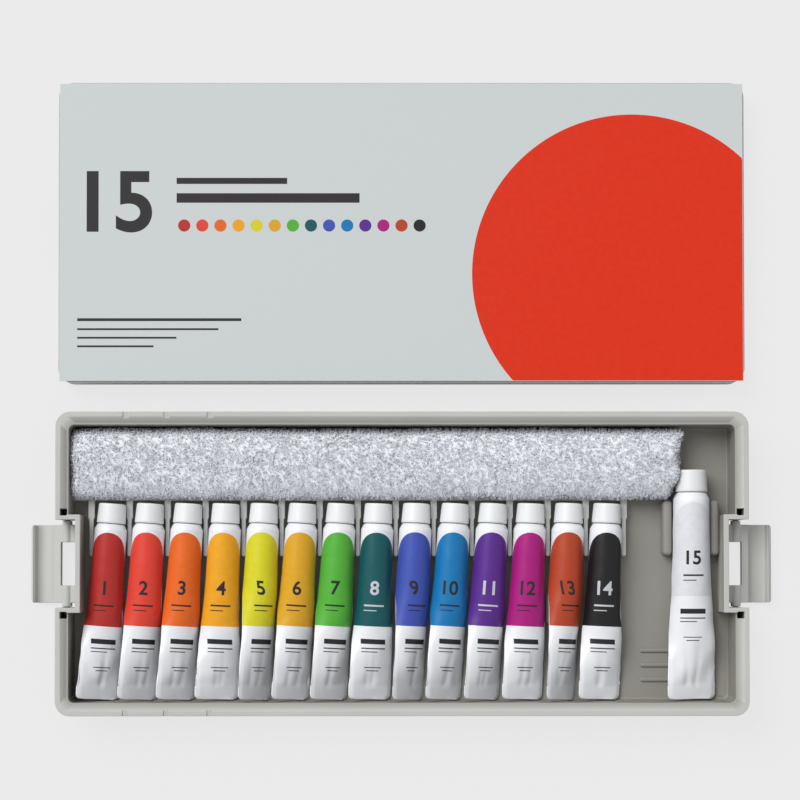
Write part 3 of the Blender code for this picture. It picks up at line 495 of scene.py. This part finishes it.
def tube_places():
    """Every tube, from the left. A small one's crimp is wider than its bay, so it stands on its right edge."""
    count = len(PIGMENTS)
    shares = [POST_LEAN_SHARE if i % BAYS_PER_POST == 0 else LEAN_SHARE for i in range(count + 1)]
    shares[0], shares[-1] = FIRST_LEAN_SHARE, LAST_LEAN_SHARE
    edges = [FIRST_FINGER_X + (i - share) * BAY_PITCH for i, share in enumerate(shares)]
    radius = 8.5 * MM
    half_flat = math.pi * radius / 2
    lean_y = (FINGER_END_Y + SEAT_Y) / 2
    tubes = []
    for i, (name, _) in enumerate(PIGMENTS):
        start, end = edges[i], edges[i + 1]
        bay_x = FIRST_FINGER_X + (i + 0.5) * BAY_PITCH
        tilt = math.acos(min(1.0, (end - start - CRIMP_SPACING) / (2 * half_flat)))
        height = FLOOR_TOP + half_flat * math.sin(tilt) + CRIMP_THICKNESS / 2 * math.cos(tilt)
        crimp = Vector(((start + end) / 2, CRIMP_Y, max(height, FLOOR_TOP + radius)))
        lean = (bay_x - crimp.x) / (lean_y - CRIMP_Y)
        seat = Vector((bay_x + lean * (SEAT_Y - lean_y), SEAT_Y, FLOOR_TOP + radius))
        tubes.append(Tube(name, crimp, seat, tilt, BAY_PITCH - CRIMP_SPACING, radius, 6.8 * MM, 3.2 * MM, i))
    radius = 9.5 * MM
    height = RIB_TOP + math.pi * radius / 2 * math.sin(LARGE_CRIMP_TILT) + CRIMP_THICKNESS / 2
    crimp = Vector((LARGE_TUBE_X, CRIMP_Y, height))
    seat = Vector((LARGE_TUBE_X, LARGE_SEAT_Y, FLOOR_TOP + radius))
    tubes.append(Tube("white", crimp, seat, LARGE_CRIMP_TILT, LARGE_ROOM, radius, 7.6 * MM, 3.6 * MM, count))
    return tubes


def tube_body(tube):
    """The tube's closed wall: a threaded neck, a coned shoulder with rounded edges, and the wall down to the crimp.
    Neck and shoulder are circles whose radius follows a profile, and the thread is a helix of small ridges."""
    around = 96
    angle = np.linspace(0, 2 * math.pi, around, endpoint=False)[None, :]
    neck = np.linspace(NECK_LENGTH, 0.4 * MM, 40)[:, None]
    thread = 0.2 * MM * (np.clip(np.cos(2 * math.pi * neck / (1.6 * MM) - angle), 0, 1) - 1)
    fade = smooth_step(0, 0.8 * MM, NECK_LENGTH - neck) * smooth_step(0.4 * MM, 1.2 * MM, neck)
    neck_radius = NECK_RADIUS - 0.02 * MM + thread * fade
    rows = [np.stack([neck_radius * np.cos(angle), neck_radius * np.sin(angle), neck + 0 * angle], -1)]
    top = np.array([[0.0, NECK_LENGTH], [1.3 * MM, NECK_LENGTH], [3.5 * MM, NECK_LENGTH]])
    edge = tube.shoulder_radius
    shoulder = [(NECK_RADIUS, 0.0), (edge - 0.5 * MM, 0.0), (edge - 0.1 * MM, -0.1 * MM)]
    drop = np.linspace(0.12, 0.88, 5)
    cone = edge + (tube.radius - edge) * drop**0.85
    shoulder += list(zip(cone, -tube.shoulder * drop))
    for profile, before in ((top, True), (np.array(shoulder), False)):
        ring = profile[:, 0][:, None]
        part = np.stack([ring * np.cos(angle), ring * np.sin(angle), profile[:, 1][:, None] + 0 * angle], -1)
        rows = [part] + rows if before else rows + [part]
    depth = np.concatenate(
        [
            np.linspace(tube.shoulder, tube.length - CRIMP_CORNER, 84),
            tube.length - CRIMP_CORNER * (1 - np.sin(np.linspace(0.15, 1, 8) * math.pi / 2)),
        ]
    )[:, None]
    wall = tube.surface(angle + 0 * depth, depth)
    rows += [wall, np.stack([wall[-1:, :, 0], 0 * wall[-1:, :, 1], wall[-1:, :, 2]], -1)]
    points = np.concatenate(rows)
    return new_mesh(f"wall_{tube.name}", tube.to_frame(points), grid_faces(len(points), around, wrap=True))


def tube_cap(tube, base, top, length):
    """A hollow screw cap: a profile turned about the thread's axis, with sixty shallow grip ribs on its skirt."""
    around = 240
    angle = np.linspace(0, 2 * math.pi, around, endpoint=False)[None, :]
    edge = 0.8 * MM
    turn = np.linspace(0, math.pi / 2, 6)
    outer = [(0.0, length - 0.25 * MM), (top - 2.2 * MM, length - 0.25 * MM), (top - 1.6 * MM, length - 0.02 * MM)]
    outer += [(top - edge + edge * math.sin(t), length - edge + edge * math.cos(t)) for t in turn]
    outer += [(top + (base - top) * s, (length - edge) * (1 - s) + 0.25 * MM * s) for s in np.linspace(0.08, 1, 10)]
    outer += [(base - 0.25 * MM, 0.0), (4.35 * MM, 0.0), (4.35 * MM, NECK_LENGTH + GAP), (0.0, NECK_LENGTH + GAP)]
    profile = np.array(outer)
    radius, height = profile[:, :1], profile[:, 1:]
    on_skirt = (radius > top - 0.2 * MM) * smooth_step(0.3 * MM, 1.2 * MM, height)
    on_skirt = on_skirt * (1 - smooth_step(length - 2.0 * MM, length - 1.0 * MM, height))
    ring = radius - 0.05 * MM * on_skirt * (0.5 - 0.5 * np.cos(60 * angle))
    points = np.stack([ring * np.cos(angle), ring * np.sin(angle), height + GAP + 0 * angle], -1)
    return new_mesh(f"screw_cap_{tube.name}", tube.to_frame(points), grid_faces(len(points), around, wrap=True))


def film(name, patches, closed=False):
    """One mesh of thin printed patches, each a grid of points with its own ink, kept in the attribute that the
    material reads."""
    points, faces, inks, count = [], [], [], 0
    for grid, cells, ink in patches:
        points.append(grid.reshape(-1, 3))
        faces += (cells + count).tolist()
        inks += [linear(ink)] * len(points[-1])
        count += len(points[-1])
    made = new_mesh(name, np.concatenate(points), faces, closed)
    ink = made.data.attributes.new("ink", "FLOAT_COLOR", "POINT")
    ink.data.foreach_set("color", np.array(inks, np.float32).ravel())
    return made


def disc_grid(x, y, radius, steps=40):
    """A disc as rings of points round its centre."""
    turn = np.linspace(0, 2 * math.pi, steps, endpoint=False)[None, :]
    ring = radius * np.linspace(0, 1, 5)[:, None]
    return x + ring * np.cos(turn), y + ring * np.sin(turn), grid_faces(5, steps, wrap=True)


def bar_grid(x, y, width, height, step=0.6 * MM):
    """A plain bar as rows of points, from its left end."""
    columns = max(2, int(width / step))
    across, up = np.meshgrid(np.linspace(x, x + width, columns), np.linspace(y - height / 2, y + height / 2, 3))
    return across, up, grid_faces(3, columns)


def digits_grid(text, x, y, height, step=(0.7 * MM, 2.5 * MM)):
    """The outline of a plain number, centred at a place, as flat triangles cut fine enough to bend."""
    curve = bpy.data.curves.new("number", "FONT")
    curve.body = text
    curve.size = height
    curve.offset = 0.022 * height
    curve.align_x, curve.align_y = "CENTER", "CENTER"
    made = bpy.data.objects.new("number", curve)
    bpy.context.scene.collection.objects.link(made)
    mesh = bpy.data.meshes.new_from_object(made.evaluated_get(bpy.context.evaluated_depsgraph_get()))
    bm = bmesh.new()
    bm.from_mesh(mesh)
    for axis, length in enumerate(step):
        normal = Vector((1 - axis, axis, 0))
        ends = [v.co[axis] for v in bm.verts]
        for cut in np.arange(min(ends) + length, max(ends), length):
            geometry = bm.verts[:] + bm.edges[:] + bm.faces[:]
            bmesh.ops.bisect_plane(bm, geom=geometry, plane_co=normal * cut, plane_no=normal)
    bmesh.ops.triangulate(bm, faces=bm.faces)
    places = np.array([v.co[:] for v in bm.verts])
    cells = np.array([[v.index for v in f.verts] for f in bm.faces])
    bm.free()
    bpy.data.objects.remove(made)
    bpy.data.curves.remove(curve)
    bpy.data.meshes.remove(mesh)
    middle = (places.min(0) + places.max(0)) / 2
    return x + places[:, 0] - middle[0], y + places[:, 1] - middle[1], cells


def tube_print(tube, number, colour, settings):
    """The generic print: a round-topped band of the paint's colour, a plain number on it, and a few rules.
    A place on it is how far across from the upper side's middle and how far below the shoulder, and is put on the
    wall by turning the distance across into an angle."""
    lift = 0.035 * MM

    def on_wall(across, below, rise=0.0):
        return tube.surface(1.5 * math.pi + across / tube.radius, tube.shoulder + below, lift + rise)

    half = settings.band_width / 2
    rows = np.linspace(0, 1, 90)[:, None]
    columns = np.linspace(-1, 1, 61)[None, :]
    arch = settings.band_arch * (1 - np.sqrt(1 - 0.985 * columns**2))
    top = settings.band_top + arch
    below = top + (settings.band_bottom - top) * rows
    patches = [(tube.to_frame(on_wall(half * columns + 0 * below, below)), grid_faces(90, 61), colour)]
    foot = settings.band_bottom
    on_band = settings.pale_ink if sum(linear(colour)[:3]) < 0.42 else settings.ink
    marks = [(digits_grid(str(number), 0, 20.0 * MM - foot, 10 * MM), on_band, 0.03 * MM)]
    # Rules in millimetres: left end, place below the band's foot, width and height. The first two are on the band
    rules = ((-5.5, -10.8, 11, 0.9), (-5.5, -8.2, 7, 0.5), (-7.0, 8.0, 14, 2.6), (-7.0, 11.6, 14, 0.6))
    rules += ((-7.0, 13.4, 9, 0.45), (-5.0, 21.6, 10, 0.45), (-3.5, 23.3, 7, 0.45))
    for x, y, width, height in rules:
        bar = bar_grid(x * MM, foot + y * MM, width * MM, height * MM)
        marks.append((bar, on_band, 0.03 * MM) if y < 0 else (bar, settings.ink, 0.0))
    for (x, y, cells), ink, rise in marks:
        down = -y if cells.shape[1] == 3 else y
        patches.append((tube.to_frame(on_wall(x, down, rise)), cells, ink))
    return film(f"print_{tube.name}", patches)


# ---------------------------------------------------------------- towel


def towel_sections(settings):
    """The rolled towel's middle line, from its outer end inwards: a flattened spiral, whose half width and half
    height shrink by one pitch a turn, on a squared ellipse. Returns places and outward normals, evenly spaced."""
    thick = settings.cloth_thickness
    reach = settings.loop_height * 0.45
    half_y = (TOWEL_HIGH.y - TOWEL_LOW.y) / 2 - reach - thick / 2
    half_z = (TOWEL_HIGH.z - TOWEL_LOW.z) / 2 - reach - thick / 2
    turns = (half_z - 0.5 * thick) / settings.roll_pitch
    turn = np.linspace(-0.45 * math.pi, -0.45 * math.pi + 2 * math.pi * turns, 4000)
    shrink = settings.roll_pitch * (turn - turn[0]) / (2 * math.pi)
    power = 2 / 2.7
    c, s = np.cos(turn), np.sin(turn)
    y = (half_y - shrink) * np.sign(c) * np.abs(c) ** power
    z = (half_z - shrink) * np.sign(s) * np.abs(s) ** power
    run = np.concatenate([[0], np.cumsum(np.hypot(np.diff(y), np.diff(z)))])
    count = int(run[-1] / (1.3 * MM))
    even = np.linspace(0, run[-1], count)
    return np.interp(even, run, y), np.interp(even, run, z), np.interp(even, run, turn - turn[0]), run[-1]


def towel_place(y, z, x_share, round_turn):
    """Puts a place of the roll in the frame. Lumps pull the roll in a little along its length, its ends are uneven,
    the right one is slanted, and the lower front is pressed back where the rail stands."""
    x0, x1 = TOWEL_LOW.x + 1.2 * MM, TOWEL_HIGH.x - 1.2 * MM
    x = x0 + (x1 - x0) * x_share
    pull = 1 - 0.03 * (0.5 + 0.5 * soft_noise(x, 25 * MM * round_turn, 71, 26 * MM))
    pull = pull - 0.022 * (0.5 + 0.5 * soft_noise(x, 12 * MM * round_turn, 73, 7 * MM))
    y, z = y * pull, z * pull
    middle_y, middle_z = (TOWEL_LOW.y + TOWEL_HIGH.y) / 2, (TOWEL_LOW.z + TOWEL_HIGH.z) / 2
    y, z = middle_y + y, middle_z + z - 0.4 * MM
    uneven = 1.0 * MM * soft_noise(y * 1.5, z * 1.5 + 9 * MM * round_turn, 72, 12 * MM)
    x = x + (TOWEL_SLANT * (y - TOWEL_SLANT_Y) + uneven) * smooth_step(0.5, 1, x_share)
    x = x + uneven * 0.7 * smooth_step(0.5, 1, 1 - x_share)
    low_y = TOWEL_LOW.y + (RAIL_BACK - TOWEL_LOW.y) * (1 - smooth_step(RAIL_TOP - 0.5 * MM, RAIL_TOP + 2.5 * MM, z))
    y = low_y + (y - TOWEL_LOW.y) * (TOWEL_HIGH.y - low_y) / (TOWEL_HIGH.y - TOWEL_LOW.y)
    return np.stack([x, y, z], -1)


def roll_offsets(y, z, thick):
    """The two faces of the cloth, half its thickness each side of its middle line, outward one first."""
    dy, dz = np.gradient(y), np.gradient(z)
    size = np.hypot(dy, dz)
    ny, nz = dz / size, -dy / size
    return (y + ny * thick / 2, z + nz * thick / 2), (y - ny * thick / 2, z - nz * thick / 2)


def towel_cloth(settings):
    """The towel's ground cloth: the spiral's closed profile carried along X, with a strip of faces at each end."""
    y, z, turn, length = towel_sections(settings)
    outside, inside = roll_offsets(y, z, settings.cloth_thickness)
    ring_y = np.concatenate([outside[0], inside[0][::-1]])[None, :]
    ring_z = np.concatenate([outside[1], inside[1][::-1]])[None, :]
    ring_turn = np.concatenate([turn, turn[::-1]])[None, :]
    stations = 120
    share = np.linspace(0, 1, stations)[:, None]
    points = towel_place(ring_y + 0 * share, ring_z + 0 * share, share + 0 * ring_y, ring_turn + 0 * share)
    count, ring = len(y), 2 * len(y)
    faces = grid_faces(stations, ring, wrap=True)
    i = np.arange(count - 1)
    strip = np.stack([i, i + 1, ring - 2 - i, ring - 1 - i], -1)
    faces = np.concatenate([faces, strip, strip[:, ::-1] + (stations - 1) * ring])
    flat = (length, TOWEL_HIGH.x - TOWEL_LOW.x - 2.4 * MM)
    return new_mesh("towel_cloth", points, faces), flat


def towel_pile(settings):
    """The towel's loops: each is a narrow strip arched over its foot, three quads long, at a random place and turn
    on the roll's outer face and on its two ends."""
    rng = np.random.default_rng(11)
    y, z, turn, _ = towel_sections(settings)
    outside, inside = roll_offsets(y, z, settings.cloth_thickness)
    steps = np.arange(len(y))
    on_face = int(settings.loop_count * 0.86)
    first_turn = np.searchsorted(turn, 2 * math.pi)
    at = rng.uniform(0, first_turn - 2, on_face)
    fy, fz = (np.interp(at, steps, line) for line in outside)
    fy2, fz2 = (np.interp(at + 0.5, steps, line) for line in outside)
    share = rng.uniform(0, 1, on_face)
    face_turn = np.interp(at, steps, turn)
    base = towel_place(fy, fz, share, face_turn)
    along = towel_place(fy2, fz2, share, face_turn) - base
    normal = np.cross(np.broadcast_to([1.0, 0, 0], base.shape), along)
    normal /= np.linalg.norm(normal, axis=1, keepdims=True)
    middle = np.array([0, (TOWEL_LOW.y + TOWEL_HIGH.y) / 2, (TOWEL_LOW.z + TOWEL_HIGH.z) / 2])
    outward = np.sign(((base - middle)[:, 1:] * normal[:, 1:]).sum(1, keepdims=True))
    normal = normal * outward
    at_ends = settings.loop_count - on_face
    spot = rng.uniform(0, len(y) - 1, at_ends)
    across = rng.uniform(0, 1, at_ends)
    pairs = zip(outside, inside)
    ey, ez = (np.interp(spot, steps, a) * across + np.interp(spot, steps, b) * (1 - across) for a, b in pairs)
    right = rng.integers(0, 2, at_ends).astype(float)
    base = np.concatenate([base, towel_place(ey, ez, right, np.interp(spot, steps, turn))])
    normal = np.concatenate([normal, np.stack([2 * right - 1, 0 * right, 0 * right], -1)])

    count = len(base)
    lean = normal + rng.normal(0, 0.36, (count, 3))
    lean /= np.linalg.norm(lean, axis=1, keepdims=True)
    spin = np.cross(lean, rng.normal(size=(count, 3)))
    spin /= np.linalg.norm(spin, axis=1, keepdims=True)
    side = np.cross(lean, spin)
    tall = settings.loop_height * rng.uniform(0.55, 1.0, (count, 1, 1))
    wide = settings.loop_height * rng.uniform(0.25, 0.5, (count, 1, 1))
    thread = settings.thread_width * rng.uniform(0.8, 1.2, (count, 1, 1))
    over = np.array([-1.0, -0.6, 0.6, 1.0])[None, :, None]
    up = np.array([-0.15, 0.95, 1.0, -0.15])[None, :, None]
    arch = base[:, None, :] + over * wide / 2 * spin[:, None, :] + up * tall * lean[:, None, :]
    edges = np.stack([arch - side[:, None, :] * thread / 2, arch + side[:, None, :] * thread / 2], 2)
    points = edges.reshape(-1, 3)
    cell = np.array([[0, 2, 3, 1], [2, 4, 5, 3], [4, 6, 7, 5]])
    faces = (np.arange(count)[:, None, None] * 8 + cell[None]).reshape(-1, 4)
    # Light scatters between real loops, and flat strips don't copy that. So their shading normals are not their own:
    # they lean mostly towards the sky and the key light, which keeps the towel white as seen from above
    facing = normal + 0.25 * lean + np.array(TOWARDS_LIGHT)
    facing = facing[:, None, :] + 0.2 * over * spin[:, None, :]
    facing = np.repeat(facing / np.linalg.norm(facing, axis=2, keepdims=True), 2, axis=1).reshape(-1, 3)
    p = points[faces]
    inward = (np.cross(p[:, 2] - p[:, 0], p[:, 3] - p[:, 1]) * facing[faces].mean(1)).sum(1) < 0
    faces[inward] = faces[inward][:, ::-1]
    made = new_mesh("towel_loops", points, faces, closed=False)
    made.data.normals_split_custom_set_from_vertices(facing.tolist())
    return made


# ---------------------------------------------------------------- card


def card_print(settings, top):
    """The card's generic print: a large disc cut by the card's edges, a plain number, colour chips and rules.
    Each shape is a grid in the card's own plane."""
    low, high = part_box("lid_cover_card")
    lift = 0.03 * MM
    margin = Vector((0.25, 0.25, 0)) * MM
    low, high = low + margin, high - margin

    def flat(x, y, cells, ink):
        return np.stack([x, y, np.full(np.shape(x), top + lift)], -1), cells, ink

    patches = []
    turn = np.linspace(0, 2 * math.pi, 720, endpoint=False)[None, :]
    c, s = np.cos(turn), np.sin(turn)
    x, y, radius = settings.disc_place[0], LID_Y + settings.disc_place[1], settings.disc_radius
    to_side = np.where(c > 0, high.x - x, x - low.x) / np.maximum(np.abs(c), 1e-9)
    to_end = np.where(s > 0, high.y - y, y - low.y) / np.maximum(np.abs(s), 1e-9)
    reach = np.minimum(np.minimum(to_side, to_end), radius)
    ring = reach * np.linspace(0, 1, 12)[:, None]
    patches.append(flat(x + ring * c, y + ring * s, grid_faces(12, 720, wrap=True), settings.motif))
    patches.append(flat(*digits_grid("15", -148 * MM, LID_Y + 16 * MM, 44 * MM, (9 * MM, 9 * MM)), settings.ink))
    for i, (_, colour) in enumerate(PIGMENTS):
        x, y, cells = disc_grid((-114 + 9.5 * i) * MM, LID_Y + 3.5 * MM, 3.2 * MM)
        patches.append(flat(x, y, cells, colour))
    for x, y, width, height in settings.rules():
        patches.append(flat(*bar_grid(x, y, width, height, 4 * MM), settings.ink))
    return film("card_print", patches)


# ---------------------------------------------------------------- settings


def length_setting(name, description, default, **more):
    """A setting that is a length."""
    return FloatProperty(name=name, description=description, default=default, unit="LENGTH", **more)


class PaintBoxPlastic(bpy.types.PropertyGroup):
    """Sizes and colour of the moulded plastic"""

    colour: StringProperty(name="Colour", description="The plastic's colour, as sRGB hex", default="#C1C1BE")
    # The rack is the tray's plastic painted lighter: painted light, for the light that the tubes and towel keep off it
    rack_colour: StringProperty(name="Rack Colour", description="The rack's colour, as sRGB hex", default="#D0D0CE")
    edge_round: length_setting("Edge Radius", "Radius that the mould leaves on edges", 0.35 * MM)
    fillet: length_setting("Fillet", "Radius between the tray's walls and floor", 1.2 * MM)
    grain: length_setting("Grain", "Size of the surface grain", 0.5 * MM, precision=5)


class PaintBoxTubes(bpy.types.PropertyGroup):
    """Sizes and colours of the tubes' enamel and print"""

    enamel: StringProperty(name="Enamel", description="Colour of the tubes' enamel", default="#EFF1F5")
    cap: StringProperty(name="Cap", description="Colour of the caps", default="#E9EBEC")
    ink: StringProperty(name="Ink", description="Colour of the dark print", default="#26272A")
    pale_ink: StringProperty(name="Pale Ink", description="Colour of the print on dark bands", default="#C9CDD2")
    band_width: length_setting("Band Width", "Width of the colour band round the tube", 26.6 * MM)
    band_top: length_setting("Band Top", "From the shoulder to the top of the band", 1.6 * MM)
    band_bottom: length_setting("Band Bottom", "From the shoulder to the foot of the band", 50.5 * MM)
    band_arch: length_setting("Band Arch", "Height of the arch at the top of the band", 19 * MM)


class PaintBoxTowel(bpy.types.PropertyGroup):
    """Sizes and colour of the terry towel"""

    colour: StringProperty(name="Colour", description="The cotton's colour", default="#F8FAFF")
    cloth_thickness: length_setting("Cloth Thickness", "Ground cloth with its pressed pile", 1.5 * MM)
    roll_pitch: length_setting("Roll Pitch", "From one turn of the roll to the next", 1.75 * MM)
    loop_height: length_setting("Loop Height", "Height of a loop", 2.0 * MM)
    thread_width: length_setting("Thread Width", "Width of a loop's thread", 0.45 * MM, precision=5)
    loop_count: IntProperty(name="Loops", description="Number of loops modelled", default=33000)


class PaintBoxCard(bpy.types.PropertyGroup):
    """Colours of the lid's card"""

    board: StringProperty(name="Board", description="Colour of the card", default="#CCD2D2")
    motif: StringProperty(name="Motif", description="Colour of the large disc", default="#DD2F0E")
    ink: StringProperty(name="Ink", description="Colour of the dark print", default="#2B292B")
    disc_radius: length_setting("Disc Radius", "Radius of the disc", 84 * MM)
    disc_place: FloatVectorProperty(
        name="Disc Place", description="Middle of the disc on the card", default=(0.121, -0.022), size=2
    )

    def rules(self):
        """Left end, middle, width and height of each printed rule."""
        rows = ((-118, 18, 96, 5.0), (-118, 27, 58, 3.2), (-170, -46, 86, 1.5), (-170, -51, 74, 1.0))
        rows += ((-170, -55.5, 52, 1.0), (-170, -60, 40, 1.0))
        return [(x * MM, LID_Y + y * MM, w * MM, h * MM) for x, y, w, h in rows]


class PaintBoxStage(bpy.types.PropertyGroup):
    """Floor, light and camera"""

    floor: StringProperty(name="Floor", description="Colour of the floor and backdrop", default="#EBEBEB")
    shadow: FloatProperty(name="Shadow", description="Share of the shadow that the floor shows", default=0.09)
    sky: FloatProperty(name="Soft Light", description="Strength of the even light", default=0.42)
    key: FloatProperty(name="Key Light", description="Strength of the main light", default=2.26)
    key_angle: FloatProperty(
        name="Key Softness", description="Angle that the main light fills", default=math.radians(40), subtype="ANGLE"
    )
    camera_place: FloatVectorProperty(
        name="Camera", description="Place of the camera", default=(-0.0245, -0.0062, 1.150), subtype="TRANSLATION"
    )
    camera_turn: FloatVectorProperty(
        name="Camera Turn",
        description="Turn of the camera",
        default=(math.radians(1.254), math.radians(-0.134), math.radians(-0.021)),
        subtype="EULER",
    )
    camera_lens: FloatProperty(name="Lens", description="Focal length in millimetres", default=97.73)


class PaintBoxSettings(bpy.types.PropertyGroup):
    """All the settings of the paint box"""

    plastic: PointerProperty(type=PaintBoxPlastic)
    tubes: PointerProperty(type=PaintBoxTubes)
    towel: PointerProperty(type=PaintBoxTowel)
    card: PointerProperty(type=PaintBoxCard)
    stage: PointerProperty(type=PaintBoxStage)


# ---------------------------------------------------------------- operators


class PAINTBOX_OT_stage(bpy.types.Operator):
    """Makes the floor, the light and the camera"""

    bl_idname = "paintbox.stage"
    bl_label = "Stage"

    def execute(self, context):
        settings = context.scene.paint_box.stage
        size, low = 4.0, -0.1 * MM
        corners = [(-size, -size, low), (size, -size, low), (size, size, low), (-size, size, low)]
        floor = new_mesh("floor", corners, [(0, 1, 2, 3)], closed=False)
        floor.data.materials.append(studio_floor("matt painted board", settings.floor, settings.shadow))
        world = bpy.data.worlds.new("soft studio")
        context.scene.world = world
        world.use_nodes = True
        tree = world.node_tree
        tree.nodes.clear()
        rays = add_node(tree, "ShaderNodeLightPath")
        seen = rays.outputs["Is Camera Ray"]
        for kind in ("Is Glossy Ray", "Is Transmission Ray"):
            either = {0: seen, 1: rays.outputs[kind]}
            seen = add_node(tree, "ShaderNodeMath", {"operation": "MAXIMUM"}, either).outputs[0]
        even = add_node(tree, "ShaderNodeBackground", inputs={"Color": (1, 1, 1, 1), "Strength": settings.sky})
        plain = add_node(tree, "ShaderNodeBackground", inputs={"Color": linear(settings.floor), "Strength": 1.0})
        mixed = add_node(tree, "ShaderNodeMixShader", inputs={0: seen, 1: even.outputs[0], 2: plain.outputs[0]})
        add_node(tree, "ShaderNodeOutputWorld", inputs={"Surface": mixed.outputs[0]})
        light = bpy.data.lights.new("key", "SUN")
        light.energy = settings.key
        light.angle = settings.key_angle
        lamp = bpy.data.objects.new("key", light)
        lamp.rotation_euler = Vector((-0.52, 0.48, 0.78)).to_track_quat("Z", "Y").to_euler()
        context.scene.collection.objects.link(lamp)
        lens = bpy.data.cameras.new("camera")
        lens.lens = settings.camera_lens
        lens.sensor_width = 36
        lens.shift_x, lens.shift_y = 0.05, 0.16
        lens.clip_start, lens.clip_end = 0.05, 20
        camera = bpy.data.objects.new("camera", lens)
        camera.location = settings.camera_place
        camera.rotation_euler = settings.camera_turn
        context.scene.collection.objects.link(camera)
        context.scene.camera = camera
        context.scene.view_settings.view_transform = "Standard"
        return {"FINISHED"}


class PAINTBOX_OT_plastic(bpy.types.Operator):
    """Makes the moulded pieces: tray, rack, latches and lid"""

    bl_idname = "paintbox.plastic"
    bl_label = "Plastic Pieces"

    def execute(self, context):
        settings = context.scene.paint_box.plastic
        plastic = moulded_plastic("moulded polypropylene", settings.colour, settings.grain, 0.42)
        # The tray's plastic has painted shade: its inside is painted darker and warmer than its rim
        painted_shade_inside = moulded_plastic("moulded polypropylene inside", settings.colour, settings.grain, 0.46, True)
        moulded_copy("tray", settings.edge_round, painted_shade_inside, settings.fillet)
        # Painted light: the rack's plastic is painted lighter than the same plastic elsewhere, for the light that the
        # tubes and towel keep off it
        pale = moulded_plastic("moulded polypropylene rack", settings.rack_colour, settings.grain, 0.42)
        moulded_copy("tube_rack", settings.edge_round, pale)
        for side in ("left", "right"):
            moulded_copy(f"latch_{side}", settings.edge_round, plastic)
        moulded_copy("lid_shell", settings.edge_round * 0.6, plastic)
        return {"FINISHED"}


class PAINTBOX_OT_card(bpy.types.Operator):
    """Makes the lid's printed card"""

    bl_idname = "paintbox.card"
    bl_label = "Printed Card"

    def execute(self, context):
        settings = context.scene.paint_box.card
        board = coated_card("coated board", settings.board)
        moulded_copy("lid_cover_card", 0.12 * MM, board)
        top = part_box("lid_cover_card")[1].z
        printed = card_print(settings, top)
        dress(printed, None, printing_ink("offset ink on card", 0.5), "lid")
        return {"FINISHED"}


class PAINTBOX_OT_tubes(bpy.types.Operator):
    """Makes the paint tubes with their print"""

    bl_idname = "paintbox.tubes"
    bl_label = "Paint Tubes"

    def execute(self, context):
        settings = context.scene.paint_box.tubes
        enamel = enamelled_aluminium("enamelled aluminium", settings.enamel)
        ink = printing_ink("offset ink on enamel", 0.36)
        colours = [colour for _, colour in PIGMENTS] + ["#DFE1E6"]
        for i, tube in enumerate(tube_places()):
            wall = tube_body(tube)
            dress(wall, f"tube_{tube.name}", enamel)
            printed = tube_print(tube, i + 1, colours[i], settings)
            dress(printed, None, ink, f"tube_{tube.name}")
        return {"FINISHED"}


class PAINTBOX_OT_caps(bpy.types.Operator):
    """Makes the tubes' screw caps"""

    bl_idname = "paintbox.caps"
    bl_label = "Screw Caps"

    def execute(self, context):
        settings = context.scene.paint_box.tubes
        plastic = moulded_plastic("moulded white polyethylene", settings.cap, 0.4 * MM, 0.34)
        for tube in tube_places():
            sizes = (8.4 * MM, 7.9 * MM, 11.5 * MM) if tube.name == "white" else (7.6 * MM, 7.1 * MM, 10.3 * MM)
            dress(tube_cap(tube, *sizes), f"cap_{tube.name}", plastic)
        return {"FINISHED"}


class PAINTBOX_OT_towel(bpy.types.Operator):
    """Makes the rolled terry towel"""

    bl_idname = "paintbox.towel"
    bl_label = "Towel"

    def execute(self, context):
        settings = context.scene.paint_box.towel
        terry = terry_cotton("cotton terry", settings.colour, 1.0 * MM)
        cloth, flat = towel_cloth(settings)
        dress(cloth, "towel", terry)
        thin = terry_cotton("cotton terry loops", settings.colour, 1.0 * MM, 0.4)
        loops = dress(towel_pile(settings), None, thin, "towel")
        return {"FINISHED"}


class PAINTBOX_PT_panel(bpy.types.Panel):
    """Lists the pieces of the paint box"""

    bl_idname = "PAINTBOX_PT_panel"
    bl_label = "Paint Box"
    bl_space_type = "VIEW_3D"
    bl_region_type = "UI"
    bl_category = "Paint Box"

    def draw(self, context):
        settings = context.scene.paint_box
        for name in ("plastic", "tubes", "towel", "card", "stage"):
            box = self.layout.box()
            box.label(text=name.title())
            group = getattr(settings, name)
            for field in group.bl_rna.properties:
                if field.identifier not in ("rna_type", "name"):
                    box.prop(group, field.identifier)
        for made in OPERATORS:
            self.layout.operator(made.bl_idname)


OPERATORS = (
    PAINTBOX_OT_stage,
    PAINTBOX_OT_plastic,
    PAINTBOX_OT_card,
    PAINTBOX_OT_tubes,
    PAINTBOX_OT_caps,
    PAINTBOX_OT_towel,
)
GROUPS = (PaintBoxPlastic, PaintBoxTubes, PaintBoxTowel, PaintBoxCard, PaintBoxStage, PaintBoxSettings)


def register():
    for made in GROUPS + OPERATORS + (PAINTBOX_PT_panel,):
        bpy.utils.register_class(made)
    bpy.types.Scene.paint_box = PointerProperty(type=PaintBoxSettings)


def unregister():
    del bpy.types.Scene.paint_box
    for made in reversed(GROUPS + OPERATORS + (PAINTBOX_PT_panel,)):
        bpy.utils.unregister_class(made)


def main():
    register()
    bpy.ops.paintbox.stage()
    bpy.ops.paintbox.plastic()
    bpy.ops.paintbox.card()
    bpy.ops.paintbox.tubes()
    bpy.ops.paintbox.caps()
    bpy.ops.paintbox.towel()


if __name__ == "__main__":
    main()
